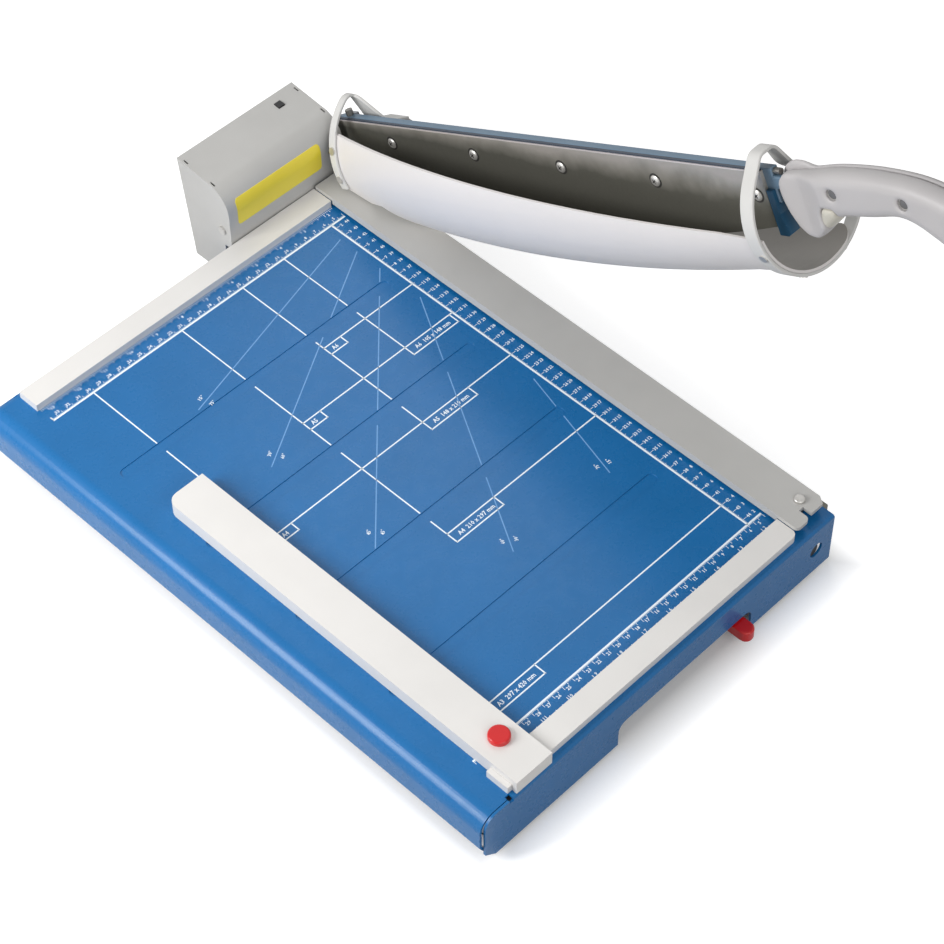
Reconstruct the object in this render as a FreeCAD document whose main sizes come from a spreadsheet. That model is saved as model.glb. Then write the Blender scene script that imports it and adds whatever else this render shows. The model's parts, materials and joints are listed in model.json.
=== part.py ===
import FreeCAD, Part
import math
import os

import Sketcher
from FreeCAD import Placement, Rotation, Vector

# A3 lever trimmer: a folded steel table, a clamp plate along its right edge, a lever arm with the
# upper blade and a guard that swings round the blade as the arm is lowered, and a laser line unit.
#
# Working frame, millimetres: x = 0 is the cutting plane (negative over the table), y = 0 the front
# face of the back stop (negative to the front), z = 0 the table's top. The finished pieces are moved
# together, so that the origin is under the middle of the whole machine, on the desk.
#
# The arm's own frame has its origin on the arm pivot: -y runs along the arm, z away from it, and the
# whole frame is raised by arm_rest_angle in the rest pose. "reach" is a distance along the arm.

DIMENSIONS = {
    # table
    "table_left": 367.0, "table_right": 4.0, "table_front": 485.0, "table_back": 28.0,
    "sheet_wall": 2.0, "roll_radius": 14.0, "roll_depth": 31.0, "roll_inner_radius": 12.0,
    "roll_lip_in": 6.0, "roll_lip_down": 11.5, "right_flange_drop": 30.0,
    "front_flange_drop": 48.6, "rear_flange_drop": 40.0, "bend_left": 337.0,
    "relief_width": 4.0, "relief_depth": 5.0, "flange_end": 364.0, "flange_end_radius": 11.0,
    "flange_end_drop": 40.0, "flange_end_slope": 10.0, "flange_end_gap": 0.6,
    "notch_left": 233.0, "notch_right": 93.0, "notch_top": 26.0, "notch_corner": 8.0,
    "side_hole_in": 22.0, "side_hole_down": 24.0, "side_hole_radius": 6.5,
    "bend_radius": 2.4, "bead_width": 9.5, "bead_depth": 0.6, "bead_left": 335.0,
    "bead_right": 66.0, "bead_first": 91.0, "bead_pitch": 92.0,
    "table_height": 53.0,
    # feet
    "foot_inset_left": 31.0, "foot_right_from_cut": 45.0, "foot_front_inset": 21.0,
    "foot_back_inset": 22.0, "foot_radius": 12.0, "foot_height": 5.0,
    "foot_screw_head_height": 1.8, "bracket_side": 26.0, "bracket_wall": 2.0,
    # rail and lower blade
    "rail_left": 30.0, "rail_drop": 27.0, "rail_front_gap": 5.0, "rail_back_gap": 4.0,
    "lower_blade_thickness": 4.0, "lower_blade_height": 20.0, "lower_blade_front": 475.0,
    "lower_blade_back": 5.0, "lower_screw_first": 35.0, "lower_screw_last_back": 40.0,
    "lower_screw_radius": 2.5, "lower_screw_head": 4.5, "lower_screw_depth": 10.0,
    "screw_clearance": 0.05,
    # stop bars
    "stop_bar_height": 6.5, "back_bar_depth": 19.5, "back_bar_left": 337.5, "stop_bar_right": 40.0,
    "front_bar_near": 460.0, "front_bar_far": 479.5, "front_bar_corner": 5.0,
    "bar_screw_radius": 2.0, "bar_screw_inset": 30.0, "bar_screw_head": 4.0,
    # clamp
    "clamp_left": 39.5, "clamp_right": 4.5, "clamp_front": 476.0, "clamp_back": 18.0,
    "clamp_top": 10.0, "clamp_wall": 3.3, "clamp_flange_wall": 3.0, "clamp_flange_drop": 6.6,
    "clamp_flange_front": 459.5, "clamp_flange_back": 1.0, "clamp_corner": 4.0,
    "clamp_notch_left": 25.6, "clamp_notch_right": 20.8, "clamp_notch_depth": 8.0,
    "clamp_travel": 3.0, "clamp_tongue": 2.5, "pan_round": 1.4, "post_in": 18.0,
    "post_front": 462.0, "post_back": 6.0, "post_radius": 4.0,
    "running_gap": 0.05, "clamp_screw_head": 4.2, "clamp_screw_rise": 2.6,
    "lift_bar_top": 31.0, "lift_bar_thickness": 5.0, "lift_bar_left": 30.0, "lift_bar_right": 8.0,
    "ramp_left": 57.0, "ramp_run_start": 387.0, "ramp_run_end": 433.0, "ramp_back": 366.0,
    "ramp_front": 446.0, "ramp_under": 8.0,
    # clamp lever
    "lever_pivot_in": 107.0, "lever_pivot_front": 380.0, "lever_hub_radius": 13.0,
    "lever_thickness": 5.0, "lever_gap": 0.4, "lever_width": 9.0, "lever_finger": 75.0,
    "lever_finger_width": 11.0, "lever_front": 484.0, "lever_shaft_radius": 4.0,
    "boss_thread": 14.0, "grip_nose_radius": 5.9, "lever_head_radius": 7.0,
    "lever_head_height": 4.0, "boss_radius": 12.0,
    "grip_width": 12.0, "grip_height": 10.0, "grip_back": 466.0, "grip_front": 498.0,
    # side guide
    "guide_left": 333.4, "guide_right": 299.4, "guide_back": 139.0, "guide_front": 484.0,
    "guide_top": 12.5, "guide_wall": 2.0, "guide_gap": 0.3, "guide_corner": 9.0,
    "knob_in": 315.0, "knob_front": 450.0, "knob_radius": 8.0,
    "knob_height": 4.0, "stud_radius": 3.0, "block_length": 19.0, "block_width": 18.0,
    # laser line unit
    "laser_left": 126.2, "laser_right": 6.0, "laser_front": 20.5, "laser_back": 77.0,
    "laser_top_front": 57.0, "laser_top_back": 60.5, "laser_round": 22.0, "laser_wall": 1.6,
    "laser_foot_gap": 0.3, "laser_drop": 36.0, "laser_drop_back": 66.0, "laser_behind": 28.4,
    "laser_low_right": 28.0, "button_in": 29.6, "button_back": 65.5, "button_side": 6.0,
    "button_rise": 0.8, "laser_top_at_button": 59.4, "button_travel": 1.5, "button_gap": 0.3,
    "tab_slot_width": 5.0, "tab_slot_front": 39.0, "tab_slot_back": 69.0, "panel_screw_back": 29.5,
    "panel_screw_up": 15.5, "panel_screw_head": 3.6, "panel_screw_shank": 1.75,
    "label_left": 117.3, "label_right": 29.4, "label_low": 21.2, "label_high": 46.2,
    "label_corner": 3.0, "label_thickness": 0.25, "module_radius": 6.0,
    "module_length": 34.0, "module_in": 18.0, "module_up": 32.0, "lens_radius": 3.5, "lens_thickness": 2.0, "shelf_up": 12.0,
    "holder_left": 116.0, "holder_length": 62.0, "holder_width": 36.0, "holder_height": 16.0,
    "battery_radius": 7.2, "battery_length": 50.0,
    # arm pivot
    "pivot_back": 50.0, "pivot_up": 10.0, "arm_rest_angle": 27.9, "bolt_radius": 6.0,
    "bolt_head_radius": 10.0, "bolt_head_height": 7.0, "bracket_front": 8.0, "bracket_back": 74.0,
    "bracket_top": 30.0, "bracket_bottom": 46.0, "bracket_face": 0.2, "bracket_screw_back": 8.0,
    "bracket_screw_low": 21.0, "bracket_screw_high": 8.0, "bracket_boss_radius": 14.5,
    "washer_radius": 12.0, "washer_thickness": 1.5, "spring_stack": 3.0, "nut_radius": 10.5,
    "nut_height": 8.0, "face_gap": 0.1,
    # arm bar and upper blade
    "bar_left": 3.0, "bar_right": 10.0, "bar_lug_radius": 16.0, "bar_rear_reach": 35.0,
    "bar_rear_top": 24.5, "bar_front_reach": 512.0, "bar_front_top": 28.0,
    "bar_front_bottom": 2.0, "bar_rear_bottom": 10.0, "bar_rear_bottom_reach": 60.0,
    "tang_length": 132.0, "tang_top": 22.2, "tang_bottom": 12.5, "bush_wall": 2.0,
    "blade_gap": 0.05, "blade_top_step": 1.4, "blade_rear_top_reach": 32.0,
    "blade_rear_reach": 24.0, "blade_rear_low": 32.0, "blade_end_back": 8.0,
    "blade_front_low": 15.5, "blade_edge_radius": 1137.0, "blade_rear_low_reach": 52.0,
    "blade_screw_first": 95.0, "blade_screw_last_back": 17.0, "blade_screw_up": 8.0,
    "blade_screw_radius": 3.0,
    "blade_screw_head": 5.2, "blade_screw_rise": 2.6,
    "end_guide_gap": 0.5, "end_guide_width": 6.0, "end_guide_top": 12.5, "end_guide_low": 22.0,
    "end_guide_foot": 11.0, "end_guide_thick": 9.0, "end_pin_radius": 2.4, "end_pin_length": 6.0,
    "end_pin_up": 25.0,
    "rear_pin_reach": 43.0, "rear_pin_radius": 3.0, "rear_pin_rise": 5.0,
    # guard
    "guard_axis_out": 30.0, "guard_axis_down": 9.5, "shell_wall": 2.0, "shell_rear": 47.0,
    "shell_rear_radius": 57.0, "shell_swell_start": 53.0, "shell_swell_end_back": 42.0,
    "shell_swell_end_radius": 53.2, "shell_swell_bow": 1500.0, "shell_front_back": 3.0,
    "shell_front_radius": 51.2, "near_edge_rear": 22.0, "near_edge_front": -14.6,
    "shell_right_from_axis": 30.0, "rear_trim_up": 2.6, "rear_trim_slope": 0.529,
    "sweep_trim_reach": 148.0, "sweep_trim_out": 8.0, "sweep_trim_slope": 0.55,
    "sweep_trim_down": 35.0, "shell_corner": 12.0,
    "shell_seat_back": 12.0, "strap_wall": 2.4, "strap_seat_gap": 0.1,
    "front_strap_back": 11.0, "front_strap_width": 8.0,
    "rear_strap_rear": 46.0, "rear_strap_width": 7.5, "front_leave_angle": 141.0,
    "rear_leave_angle": 124.0, "strap_leg_angle": 42.0, "strap_leg_wall": 3.0,
    "front_end_angle": 300.0, "rear_end_angle": 192.0,
    "strap_hub_radius": 18.5, "hub_pin_radius": 5.0, "rear_leg_width": 15.0, "strap_corner": 5.0,
    "guard_bracket_plate": 7.0, "guard_bracket_flange": 3.0, "guard_bracket_height": 16.0,
    "guard_bracket_length": 26.0, "guard_side_gap": 0.3,
    "pin_head_height": 2.0, "bar_round": 1.2, "ring_screw_rise": 1.2, "ring_screw_sink": 0.2,
    "ring_screw_radius": 1.6, "ring_screw_head": 3.2,
    # handle
    "handle_left_face": 0.6, "handle_wide_left": 5.0, "handle_slope_start": 25.0,
    "handle_slope_length": 20.0, "tip_start": 44.0, "tip_end": 55.0, "tip_lean": 3.0,
    "tip_top": 7.0, "tip_depth": 40.0, "handle_parting": 10.0, "handle_right_face": 18.2,
    "handle_round": 8.0, "curve_step": 0.1, "handle_screw_radius": 2.2,
    "handle_screw_head": 4.2, "handle_screw_depth": 4.0, "handle_screw_first": 57.5,
    "handle_screw_last_back": 13.0, "handle_screw_up": 18.5, "tang_gap": 0.2,
    "bump_reach": 20.5, "bump_up": 10.5, "bump_radius": 22.0, "bump_width": 4.0,
}

doc = FreeCAD.newDocument("Trimmer")
sheet = doc.addObject("Spreadsheet::Sheet", "Sizes")
for row, (alias, value) in enumerate(DIMENSIONS.items(), start=1):
    sheet.set("A%d" % row, alias)
    sheet.set("B%d" % row, str(value))
    sheet.setAlias("B%d" % row, alias)
doc.recompute()

finished = []  # (object, frame name) of every piece of the machine


def size(alias):
    """The number that the sheet holds under this alias."""
    return float(getattr(sheet, alias))


def bound(text):
    """An expression in which every alias, set off by spaces, points at the sheet."""
    return " ".join("Sizes." + word if word in DIMENSIONS else word for word in str(text).split())


def worked_out(text):
    """The number that an expression of aliases gives now."""
    result = sheet.evalExpression(bound(text))
    return float(getattr(result, "Value", result))


def place(thing, x, y, z):
    thing.setExpression("Placement.Base.x", bound(x))
    thing.setExpression("Placement.Base.y", bound(y))
    thing.setExpression("Placement.Base.z", bound(z))


def block(name, x, y, z, length, width, height):
    """A box from its low corner, along x, y and z."""
    box = doc.addObject("Part::Box", name)
    box.setExpression("Length", bound(length))
    box.setExpression("Width", bound(width))
    box.setExpression("Height", bound(height))
    place(box, x, y, z)
    return box


TURN = {
    "x": Rotation(Vector(0, 1, 0), 90),
    "y": Rotation(Vector(1, 0, 0), -90),
    "z": Rotation(),
}


def rod(name, axis, x, y, z, radius, length):
    """A round bar from the middle of its low end, along an axis."""
    cylinder = doc.addObject("Part::Cylinder", name)
    cylinder.setExpression("Radius", bound(radius))
    cylinder.setExpression("Height", bound(length))
    cylinder.Placement = Placement(Vector(), TURN[axis])
    place(cylinder, x, y, z)
    return cylinder


def taper(name, axis, x, y, z, radius_low, radius_high, length):
    """A cone from the middle of its low end, along an axis."""
    cone = doc.addObject("Part::Cone", name)
    cone.setExpression("Radius1", bound(radius_low))
    cone.setExpression("Radius2", bound(radius_high))
    cone.setExpression("Height", bound(length))
    cone.Placement = Placement(Vector(), TURN[axis])
    place(cone, x, y, z)
    return cone


def hexagon(name, x, y, z, radius, length):
    """A hexagonal bar along x."""
    prism = doc.addObject("Part::Prism", name)
    prism.setExpression("Circumradius", bound(radius))
    prism.setExpression("Height", bound(length))
    prism.Placement = Placement(Vector(), TURN["x"])
    place(prism, x, y, z)
    return prism


def fused(name, *pieces):
    fusion = doc.addObject("Part::MultiFuse", name)
    fusion.Shapes = list(pieces)
    fusion.Refine = True
    return fusion


def grouped(name, *pieces):
    group = doc.addObject("Part::Compound", name)
    group.Links = list(pieces)
    return group


def cut(name, base, *tools):
    result = doc.addObject("Part::Cut", name)
    result.Base = base
    result.Tool = tools[0] if len(tools) == 1 else fused(name + "_tools", *tools)
    return result


def common(name, base, tool):
    result = doc.addObject("Part::Common", name)
    result.Base = base
    result.Tool = tool
    return result


def filleted(name, base, radius, chosen):
    """Rounds the edges that chosen(edge) picks."""
    doc.recompute()
    fillet = doc.addObject("Part::Fillet", name)
    fillet.Base = base
    picked = [n for n, edge in enumerate(base.Shape.Edges, start=1) if chosen(edge)]
    if not picked:
        raise RuntimeError("no edge to round on " + name)
    fillet.Edges = [(n, size(radius), size(radius)) for n in picked]
    return fillet


def along(edge, axis):
    """True for a straight edge that runs along this axis."""
    if edge.Curve.TypeId != "Part::GeomLine":
        return False
    return abs(abs(edge.Curve.Direction.dot(axis)) - 1) < 1e-6


def near(edge, x=None, y=None, z=None, within=0.02):
    """True when the middle of the edge's box is at the given coordinates."""
    middle = edge.BoundBox.Center
    wanted = ((middle.x, x), (middle.y, y), (middle.z, z))
    return all(goal is None or abs(got - goal) < within for got, goal in wanted)


PLANES = {"xy": "XY_Plane", "xz": "XZ_Plane", "yz": "YZ_Plane"}


def outline(body, name, plane, corners):
    """A closed sketch through corners, each (across, up) or (across, up, radius).

    A radius bows the edge that leaves that corner: positive to the left of the way on, negative
    to the right. Every corner and radius is bound to the sheet.
    """
    sketch = body.newObject("Sketcher::SketchObject", name)
    for feature in body.Origin.OriginFeatures:
        if feature.Role == PLANES[plane]:
            sketch.AttachmentSupport = [(feature, "")]
    sketch.MapMode = "FlatFace"
    points = [Vector(worked_out(c[0]), worked_out(c[1]), 0) for c in corners]
    for n, corner in enumerate(corners):
        here, there = points[n], points[(n + 1) % len(points)]
        if len(corner) == 2:
            sketch.addGeometry(Part.LineSegment(here, there), False)
            continue
        radius = worked_out(corner[2])
        if radius > 0:
            here, there = there, here
        chord = there - here
        inward = Vector(-chord.y, chord.x, 0).normalize()
        depth = math.sqrt(radius * radius - chord.Length ** 2 / 4)
        middle = (here + there) / 2 + inward * depth
        first = math.atan2(here.y - middle.y, here.x - middle.x)
        last = math.atan2(there.y - middle.y, there.x - middle.x) % (2 * math.pi)
        circle = Part.Circle(middle, Vector(0, 0, 1), abs(radius))
        first = first % (2 * math.pi)
        last += 2 * math.pi if last < first else 0
        sketch.addGeometry(Part.ArcOfCircle(circle, first, last), False)
    for n, corner in enumerate(corners):
        curved_before = len(corners[n - 1]) == 3 and worked_out(corners[n - 1][2]) > 0
        before_end = 1 if curved_before else 2
        start = 2 if len(corner) == 3 and worked_out(corner[2]) > 0 else 1
        previous = (n - 1) % len(corners)
        sketch.addConstraint(Sketcher.Constraint("Coincident", previous, before_end, n, start))
        for kind, text, value in (("DistanceX", corner[0], points[n].x),
                                  ("DistanceY", corner[1], points[n].y)):
            index = sketch.addConstraint(Sketcher.Constraint(kind, -1, 1, n, start, value))
            sketch.setExpression("Constraints[%d]" % index, bound(text))
        if len(corner) == 3:
            index = sketch.addConstraint(
                Sketcher.Constraint("Radius", n, abs(worked_out(corner[2]))))
            sketch.setExpression("Constraints[%d]" % index, "abs( %s )" % bound(corner[2]))
    return sketch


def plate(name, plane, corners, start, thickness):
    """An outline padded from start over thickness, along +x, -y or +z with its plane."""
    body = doc.addObject("PartDesign::Body", name)
    sketch = outline(body, name + "_outline", plane, corners)
    sketch.setExpression("AttachmentOffset.Base.z", bound(start))
    pad = body.newObject("PartDesign::Pad", name + "_pad")
    pad.Profile = sketch
    pad.setExpression("Length", bound(thickness))
    sketch.Visibility = False
    return body


def keep(thing, label, frame="machine"):
    """Names a finished piece and says which frame it was drawn in."""
    thing.Label = label
    finished.append((thing, frame))
    return thing


# ---- base: table, feet, rail, lower blade ----

profile = plate("table_profile", "xz", [
    ("- table_right", "0"),
    ("- table_left", "0"),
    ("- table_left", "- roll_depth"),
    ("- table_left + roll_lip_in", "- roll_depth - roll_lip_down"),
    ("- table_left + roll_lip_in + sheet_wall", "- roll_depth - roll_lip_down + sheet_wall / 2"),
    ("- table_left + sheet_wall", "- roll_depth + sheet_wall / 4"),
    ("- table_left + sheet_wall", "- sheet_wall"),
    ("- table_right - sheet_wall", "- sheet_wall"),
    ("- table_right - sheet_wall", "- right_flange_drop"),
    ("- table_right", "- right_flange_drop"),
], "- table_back", "table_back + table_front")
rolled = filleted("rolled_outside", profile, "roll_radius",
                  lambda e: along(e, Vector(0, 1, 0)) and near(e, x=-size("table_left"), z=0))
rolled = filleted("rolled_inside", rolled, "roll_inner_radius",
                  lambda e: along(e, Vector(0, 1, 0))
                  and near(e, x=size("sheet_wall") - size("table_left"), z=-size("sheet_wall")))
roll_end_rooms = [
    block("roll_end_room_" + label, "- table_left - 1", low_y, "- roll_depth - roll_lip_down - 1",
          "table_left + 1 - bend_left", "sheet_wall + flange_end_gap + 1",
          "roll_depth + roll_lip_down + 2")
    for label, low_y in (("front", "- table_front - 1"),
                         ("rear", "table_back - sheet_wall - flange_end_gap"))]
rolled = cut("rolled_shortened", rolled, *roll_end_rooms)
FLANGE_END = [
    ("- flange_end + flange_end_radius", "0", "- flange_end_radius"),
    ("- flange_end", "- flange_end_radius"),
]
front_flange = plate("front_flange", "xz", [("- table_right", "0")] + FLANGE_END + [
    ("- flange_end", "- flange_end_drop"),
    ("- flange_end + flange_end_slope", "- front_flange_drop"),
    ("- notch_left", "- front_flange_drop"),
    ("- notch_left", "- notch_top"),
    ("- notch_right", "- notch_top"),
    ("- notch_right", "- front_flange_drop"),
    ("- table_right", "- front_flange_drop"),
], "table_front - sheet_wall", "sheet_wall")
front_flange = filleted("front_flange_rounded", front_flange, "notch_corner",
                        lambda e: along(e, Vector(0, 1, 0)) and near(e, z=-size("notch_top")))
rear_flange = plate("rear_flange", "xz", [("- table_right - sheet_wall", "0")] + FLANGE_END + [
    ("- flange_end", "- rear_flange_drop"),
    ("- table_right - sheet_wall", "- rear_flange_drop"),
], "- table_back", "sheet_wall")
table_shell = fused("table_shell", rolled, front_flange, rear_flange)

POST_PLACES = ("- post_front", "- post_back")
BAR_SCREWS = [(x, y)
              for x in ("- back_bar_left + bar_screw_inset", "- stop_bar_right - bar_screw_inset")
              for y in ("back_bar_depth / 2", "- ( front_bar_near + front_bar_far ) / 2")]
LOWER_SCREW_PITCH = "( lower_blade_front - lower_screw_first - lower_screw_last_back ) / 4"
LOWER_SCREWS = ["- lower_screw_first - %d * %s" % (n, LOWER_SCREW_PITCH) for n in range(4 + 1)]

table_cuts = [
    block("front_bend_relief", "- bend_left - relief_width", "- table_front - 1",
          "- sheet_wall - 1", "relief_width", "relief_depth + 1", "sheet_wall + 2"),
    block("rear_bend_relief", "- bend_left - relief_width", "table_back - relief_depth",
          "- sheet_wall - 1", "relief_width", "relief_depth + 1", "sheet_wall + 2"),
    rod("side_hole", "y", "- side_hole_in", "- table_front - 1", "- side_hole_down",
        "side_hole_radius", "sheet_wall + 2"),
]
for n in range(4):
    middle = "- bead_first - %d * bead_pitch" % n
    left, right = "- bead_left + bead_width / 2", "- bead_right - bead_width / 2"
    table_cuts += [
        block("bead_%d" % n, left, middle + " - bead_width / 2", "- bead_depth",
              "bead_left - bead_right - bead_width", "bead_width", "bead_depth + 1"),
        rod("bead_left_%d" % n, "z", left, middle, "- bead_depth", "bead_width / 2",
            "bead_depth + 1"),
        rod("bead_right_%d" % n, "z", right, middle, "- bead_depth", "bead_width / 2",
            "bead_depth + 1"),
    ]
for n, y in enumerate(POST_PLACES):
    table_cuts.append(rod("table_post_hole_%d" % n, "z", "- post_in", y, "- sheet_wall - 1",
                          "post_radius + screw_clearance * 6", "sheet_wall + 2"))
for n, (x, y) in enumerate(BAR_SCREWS):
    table_cuts.append(rod("table_bar_hole_%d" % n, "z", x, y, "- sheet_wall - 1",
                          "bar_screw_radius + screw_clearance", "sheet_wall + 2"))
for n, y in enumerate(LOWER_SCREWS):
    table_cuts.append(rod("flange_screw_hole_%d" % n, "x", "- table_right - sheet_wall - 1", y,
                          "- lower_blade_height / 2", "lower_screw_radius + screw_clearance",
                          "sheet_wall + 2"))
BRACKET_SCREWS = ("- bracket_screw_low", "- bracket_screw_high")
for n, z in enumerate(BRACKET_SCREWS):
    table_cuts.append(rod("flange_bracket_hole_%d" % n, "x", "- table_right - sheet_wall - 1",
                          "bracket_front + bracket_screw_back", z,
                          "lower_screw_radius + screw_clearance", "sheet_wall + 2"))
table = cut("table_cut", table_shell, *table_cuts)
table = filleted("table_bend", table, "bend_radius",
                 lambda e: along(e, Vector(1, 0, 0)) and near(e, y=-size("table_front"), z=0)
                 and e.Length > size("bend_left") / 2)
keep(table, "base_table")

FEET = [(x, y) for x in ("- table_left + foot_inset_left", "- foot_right_from_cut")
        for y in ("- table_front + foot_front_inset", "table_back - foot_back_inset")]
brackets, feet, foot_screws = [], [], []
for n, (x, y) in enumerate(FEET):
    outer = block("bracket_outer_%d" % n, x + " - bracket_side / 2", y + " - bracket_side / 2",
                  "- table_height + foot_height", "bracket_side", "bracket_side",
                  "table_height - foot_height - sheet_wall")
    inner = block("bracket_inner_%d" % n, x + " - bracket_side / 2 + bracket_wall",
                  y + " - bracket_side / 2 + bracket_wall",
                  "- table_height + foot_height + bracket_wall",
                  "bracket_side - 2 * bracket_wall", "bracket_side - 2 * bracket_wall",
                  "table_height")
    hole = rod("bracket_hole_%d" % n, "z", x, y, "- table_height", "bar_screw_radius", "20")
    brackets.append(cut("foot_bracket_%d" % n, outer, inner, hole))
    pad = rod("foot_pad_%d" % n, "z", x, y, "- table_height", "foot_radius", "foot_height")
    recess = rod("foot_recess_%d" % n, "z", x, y, "- table_height",
                 "bar_screw_head + 1", "foot_height / 2")
    through = rod("foot_through_%d" % n, "z", x, y, "- table_height",
                  "bar_screw_radius + screw_clearance", "foot_height")
    feet.append(cut("foot_%d" % n, pad, recess, through))
    head = rod("foot_screw_head_%d" % n, "z", x, y,
               "- table_height + foot_height / 2 - foot_screw_head_height", "bar_screw_head",
               "foot_screw_head_height")
    shank = rod("foot_screw_shank_%d" % n, "z", x, y, "- table_height + foot_height / 2",
                "bar_screw_radius", "foot_height / 2 + bracket_wall + 1")
    foot_screws.append(fused("foot_screw_%d" % n, head, shank))
keep(grouped("bracket_group", *brackets), "foot_brackets")
keep(grouped("foot_group", *feet), "rubber_feet")
keep(grouped("foot_screw_group", *foot_screws), "foot_screws")

rail = block("rail_bar", "- rail_left", "- table_front + rail_front_gap", "- rail_drop",
             "rail_left - table_right - sheet_wall",
             "table_front + table_back - rail_front_gap - rail_back_gap", "rail_drop - sheet_wall")
rail_cuts = [rod("rail_post_hole_%d" % n, "z", "- post_in", y, "- rail_drop - 1",
                 "post_radius + running_gap", "rail_drop + 2")
             for n, y in enumerate(POST_PLACES)]
rail_cuts += [rod("rail_screw_hole_%d" % n, "x",
                  "- table_right - sheet_wall - lower_screw_depth", y, "- lower_blade_height / 2",
                  "lower_screw_radius", "lower_screw_depth + 1")
              for n, y in enumerate(LOWER_SCREWS)]
rail_cuts += [rod("rail_bracket_hole_%d" % n, "x",
                  "- table_right - sheet_wall - lower_screw_depth",
                  "bracket_front + bracket_screw_back", z, "lower_screw_radius",
                  "lower_screw_depth + 1")
              for n, z in enumerate(BRACKET_SCREWS)]
keep(cut("rail_cut", rail, *rail_cuts), "blade_rail")

lower = block("lower_blade_bar", "- lower_blade_thickness", "- lower_blade_front",
              "- lower_blade_height", "lower_blade_thickness",
              "lower_blade_front + lower_blade_back", "lower_blade_height")


def countersunk(name, x, y, z, head_gap):
    """A countersunk screw along x with its head's face at x; head_gap widens it to a cutter."""
    radius, head = "lower_screw_radius + " + head_gap, "lower_screw_head + " + head_gap
    depth = "lower_screw_head - lower_screw_radius"
    length = "( lower_blade_thickness + sheet_wall + lower_screw_depth - 1 )"
    return fused(name,
                 taper(name + "_head", "x", x + " - " + "( %s )" % depth, y, z, radius, head, depth),
                 rod(name + "_shank", "x", x + " - " + length, y, z, radius, length))


blade_holes = [countersunk("lower_hole_%d" % n, "0", y, "- lower_blade_height / 2",
                           "screw_clearance") for n, y in enumerate(LOWER_SCREWS)]
keep(cut("lower_blade_cut", lower, *blade_holes), "lower_blade")
keep(grouped("lower_screw_group", *[
    countersunk("lower_screw_%d" % n, "0", y, "- lower_blade_height / 2", "0")
    for n, y in enumerate(LOWER_SCREWS)]), "lower_blade_screws")

# ---- stop bars ----

back_bar = block("back_bar", "- back_bar_left", "0", "0", "back_bar_left - stop_bar_right",
                 "back_bar_depth", "stop_bar_height")
front_bar = block("front_bar", "- back_bar_left", "- front_bar_far", "0",
                  "back_bar_left - stop_bar_right", "front_bar_far - front_bar_near",
                  "stop_bar_height")
front_bar = filleted("front_bar_rounded", front_bar, "front_bar_corner",
                     lambda e: along(e, Vector(0, 0, 1))
                     and near(e, x=-size("stop_bar_right"), y=-size("front_bar_far")))
for bar, label, where in ((back_bar, "back_stop_bar", 0), (front_bar, "front_stop_bar", 1)):
    holes = [rod("%s_hole_%d" % (label, n), "z", x, y, "-1", "bar_screw_radius",
                 "stop_bar_height - 1 + 1 / 2")
             for n, (x, y) in enumerate(BAR_SCREWS) if n % 2 == where]
    keep(cut(label + "_cut", bar, *holes), label)
keep(grouped("bar_screw_group", *[
    fused("bar_screw_%d" % n,
          rod("bar_screw_head_%d" % n, "z", x, y, "- sheet_wall - foot_screw_head_height",
              "bar_screw_head", "foot_screw_head_height"),
          rod("bar_screw_shank_%d" % n, "z", x, y, "- sheet_wall", "bar_screw_radius",
              "sheet_wall + stop_bar_height - 2"))
    for n, (x, y) in enumerate(BAR_SCREWS)]), "stop_bar_screws")

# ---- clamp ----

clamp_top_plate = plate("clamp_top_plate", "xy", [
    ("- clamp_left", "clamp_back"),
    ("- clamp_left", "- clamp_front - clamp_tongue"),
    ("- clamp_notch_left", "- clamp_front - clamp_tongue"),
    ("- clamp_notch_left", "- clamp_front + clamp_notch_depth"),
    ("- clamp_notch_right", "- clamp_front + clamp_notch_depth"),
    ("- clamp_notch_right", "- clamp_front"),
    ("- clamp_right - clamp_corner", "- clamp_front"),
    ("- clamp_right", "- clamp_front + clamp_corner * 1.5"),
    ("- clamp_right", "clamp_back"),
], "clamp_top - clamp_wall", "clamp_wall")
clamp_top_plate = filleted(
    "clamp_tongue_rounded", clamp_top_plate, "clamp_corner",
    lambda e: along(e, Vector(0, 0, 1))
    and near(e, y=-size("clamp_front") - size("clamp_tongue")))
clamp_flange = block("clamp_flange", "- clamp_left", "- clamp_flange_front",
                     "clamp_top - clamp_flange_drop", "clamp_flange_wall",
                     "clamp_flange_front - clamp_flange_back", "clamp_flange_drop")
clamp_holes = [rod("clamp_hole_%d" % n, "z", "- post_in", y, "0",
                   "bar_screw_radius + screw_clearance", "clamp_top + 1")
               for n, y in enumerate(POST_PLACES)]
keep(cut("clamp_cut", fused("clamp_sheet", clamp_top_plate, clamp_flange), *clamp_holes),
     "clamp_plate")

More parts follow.
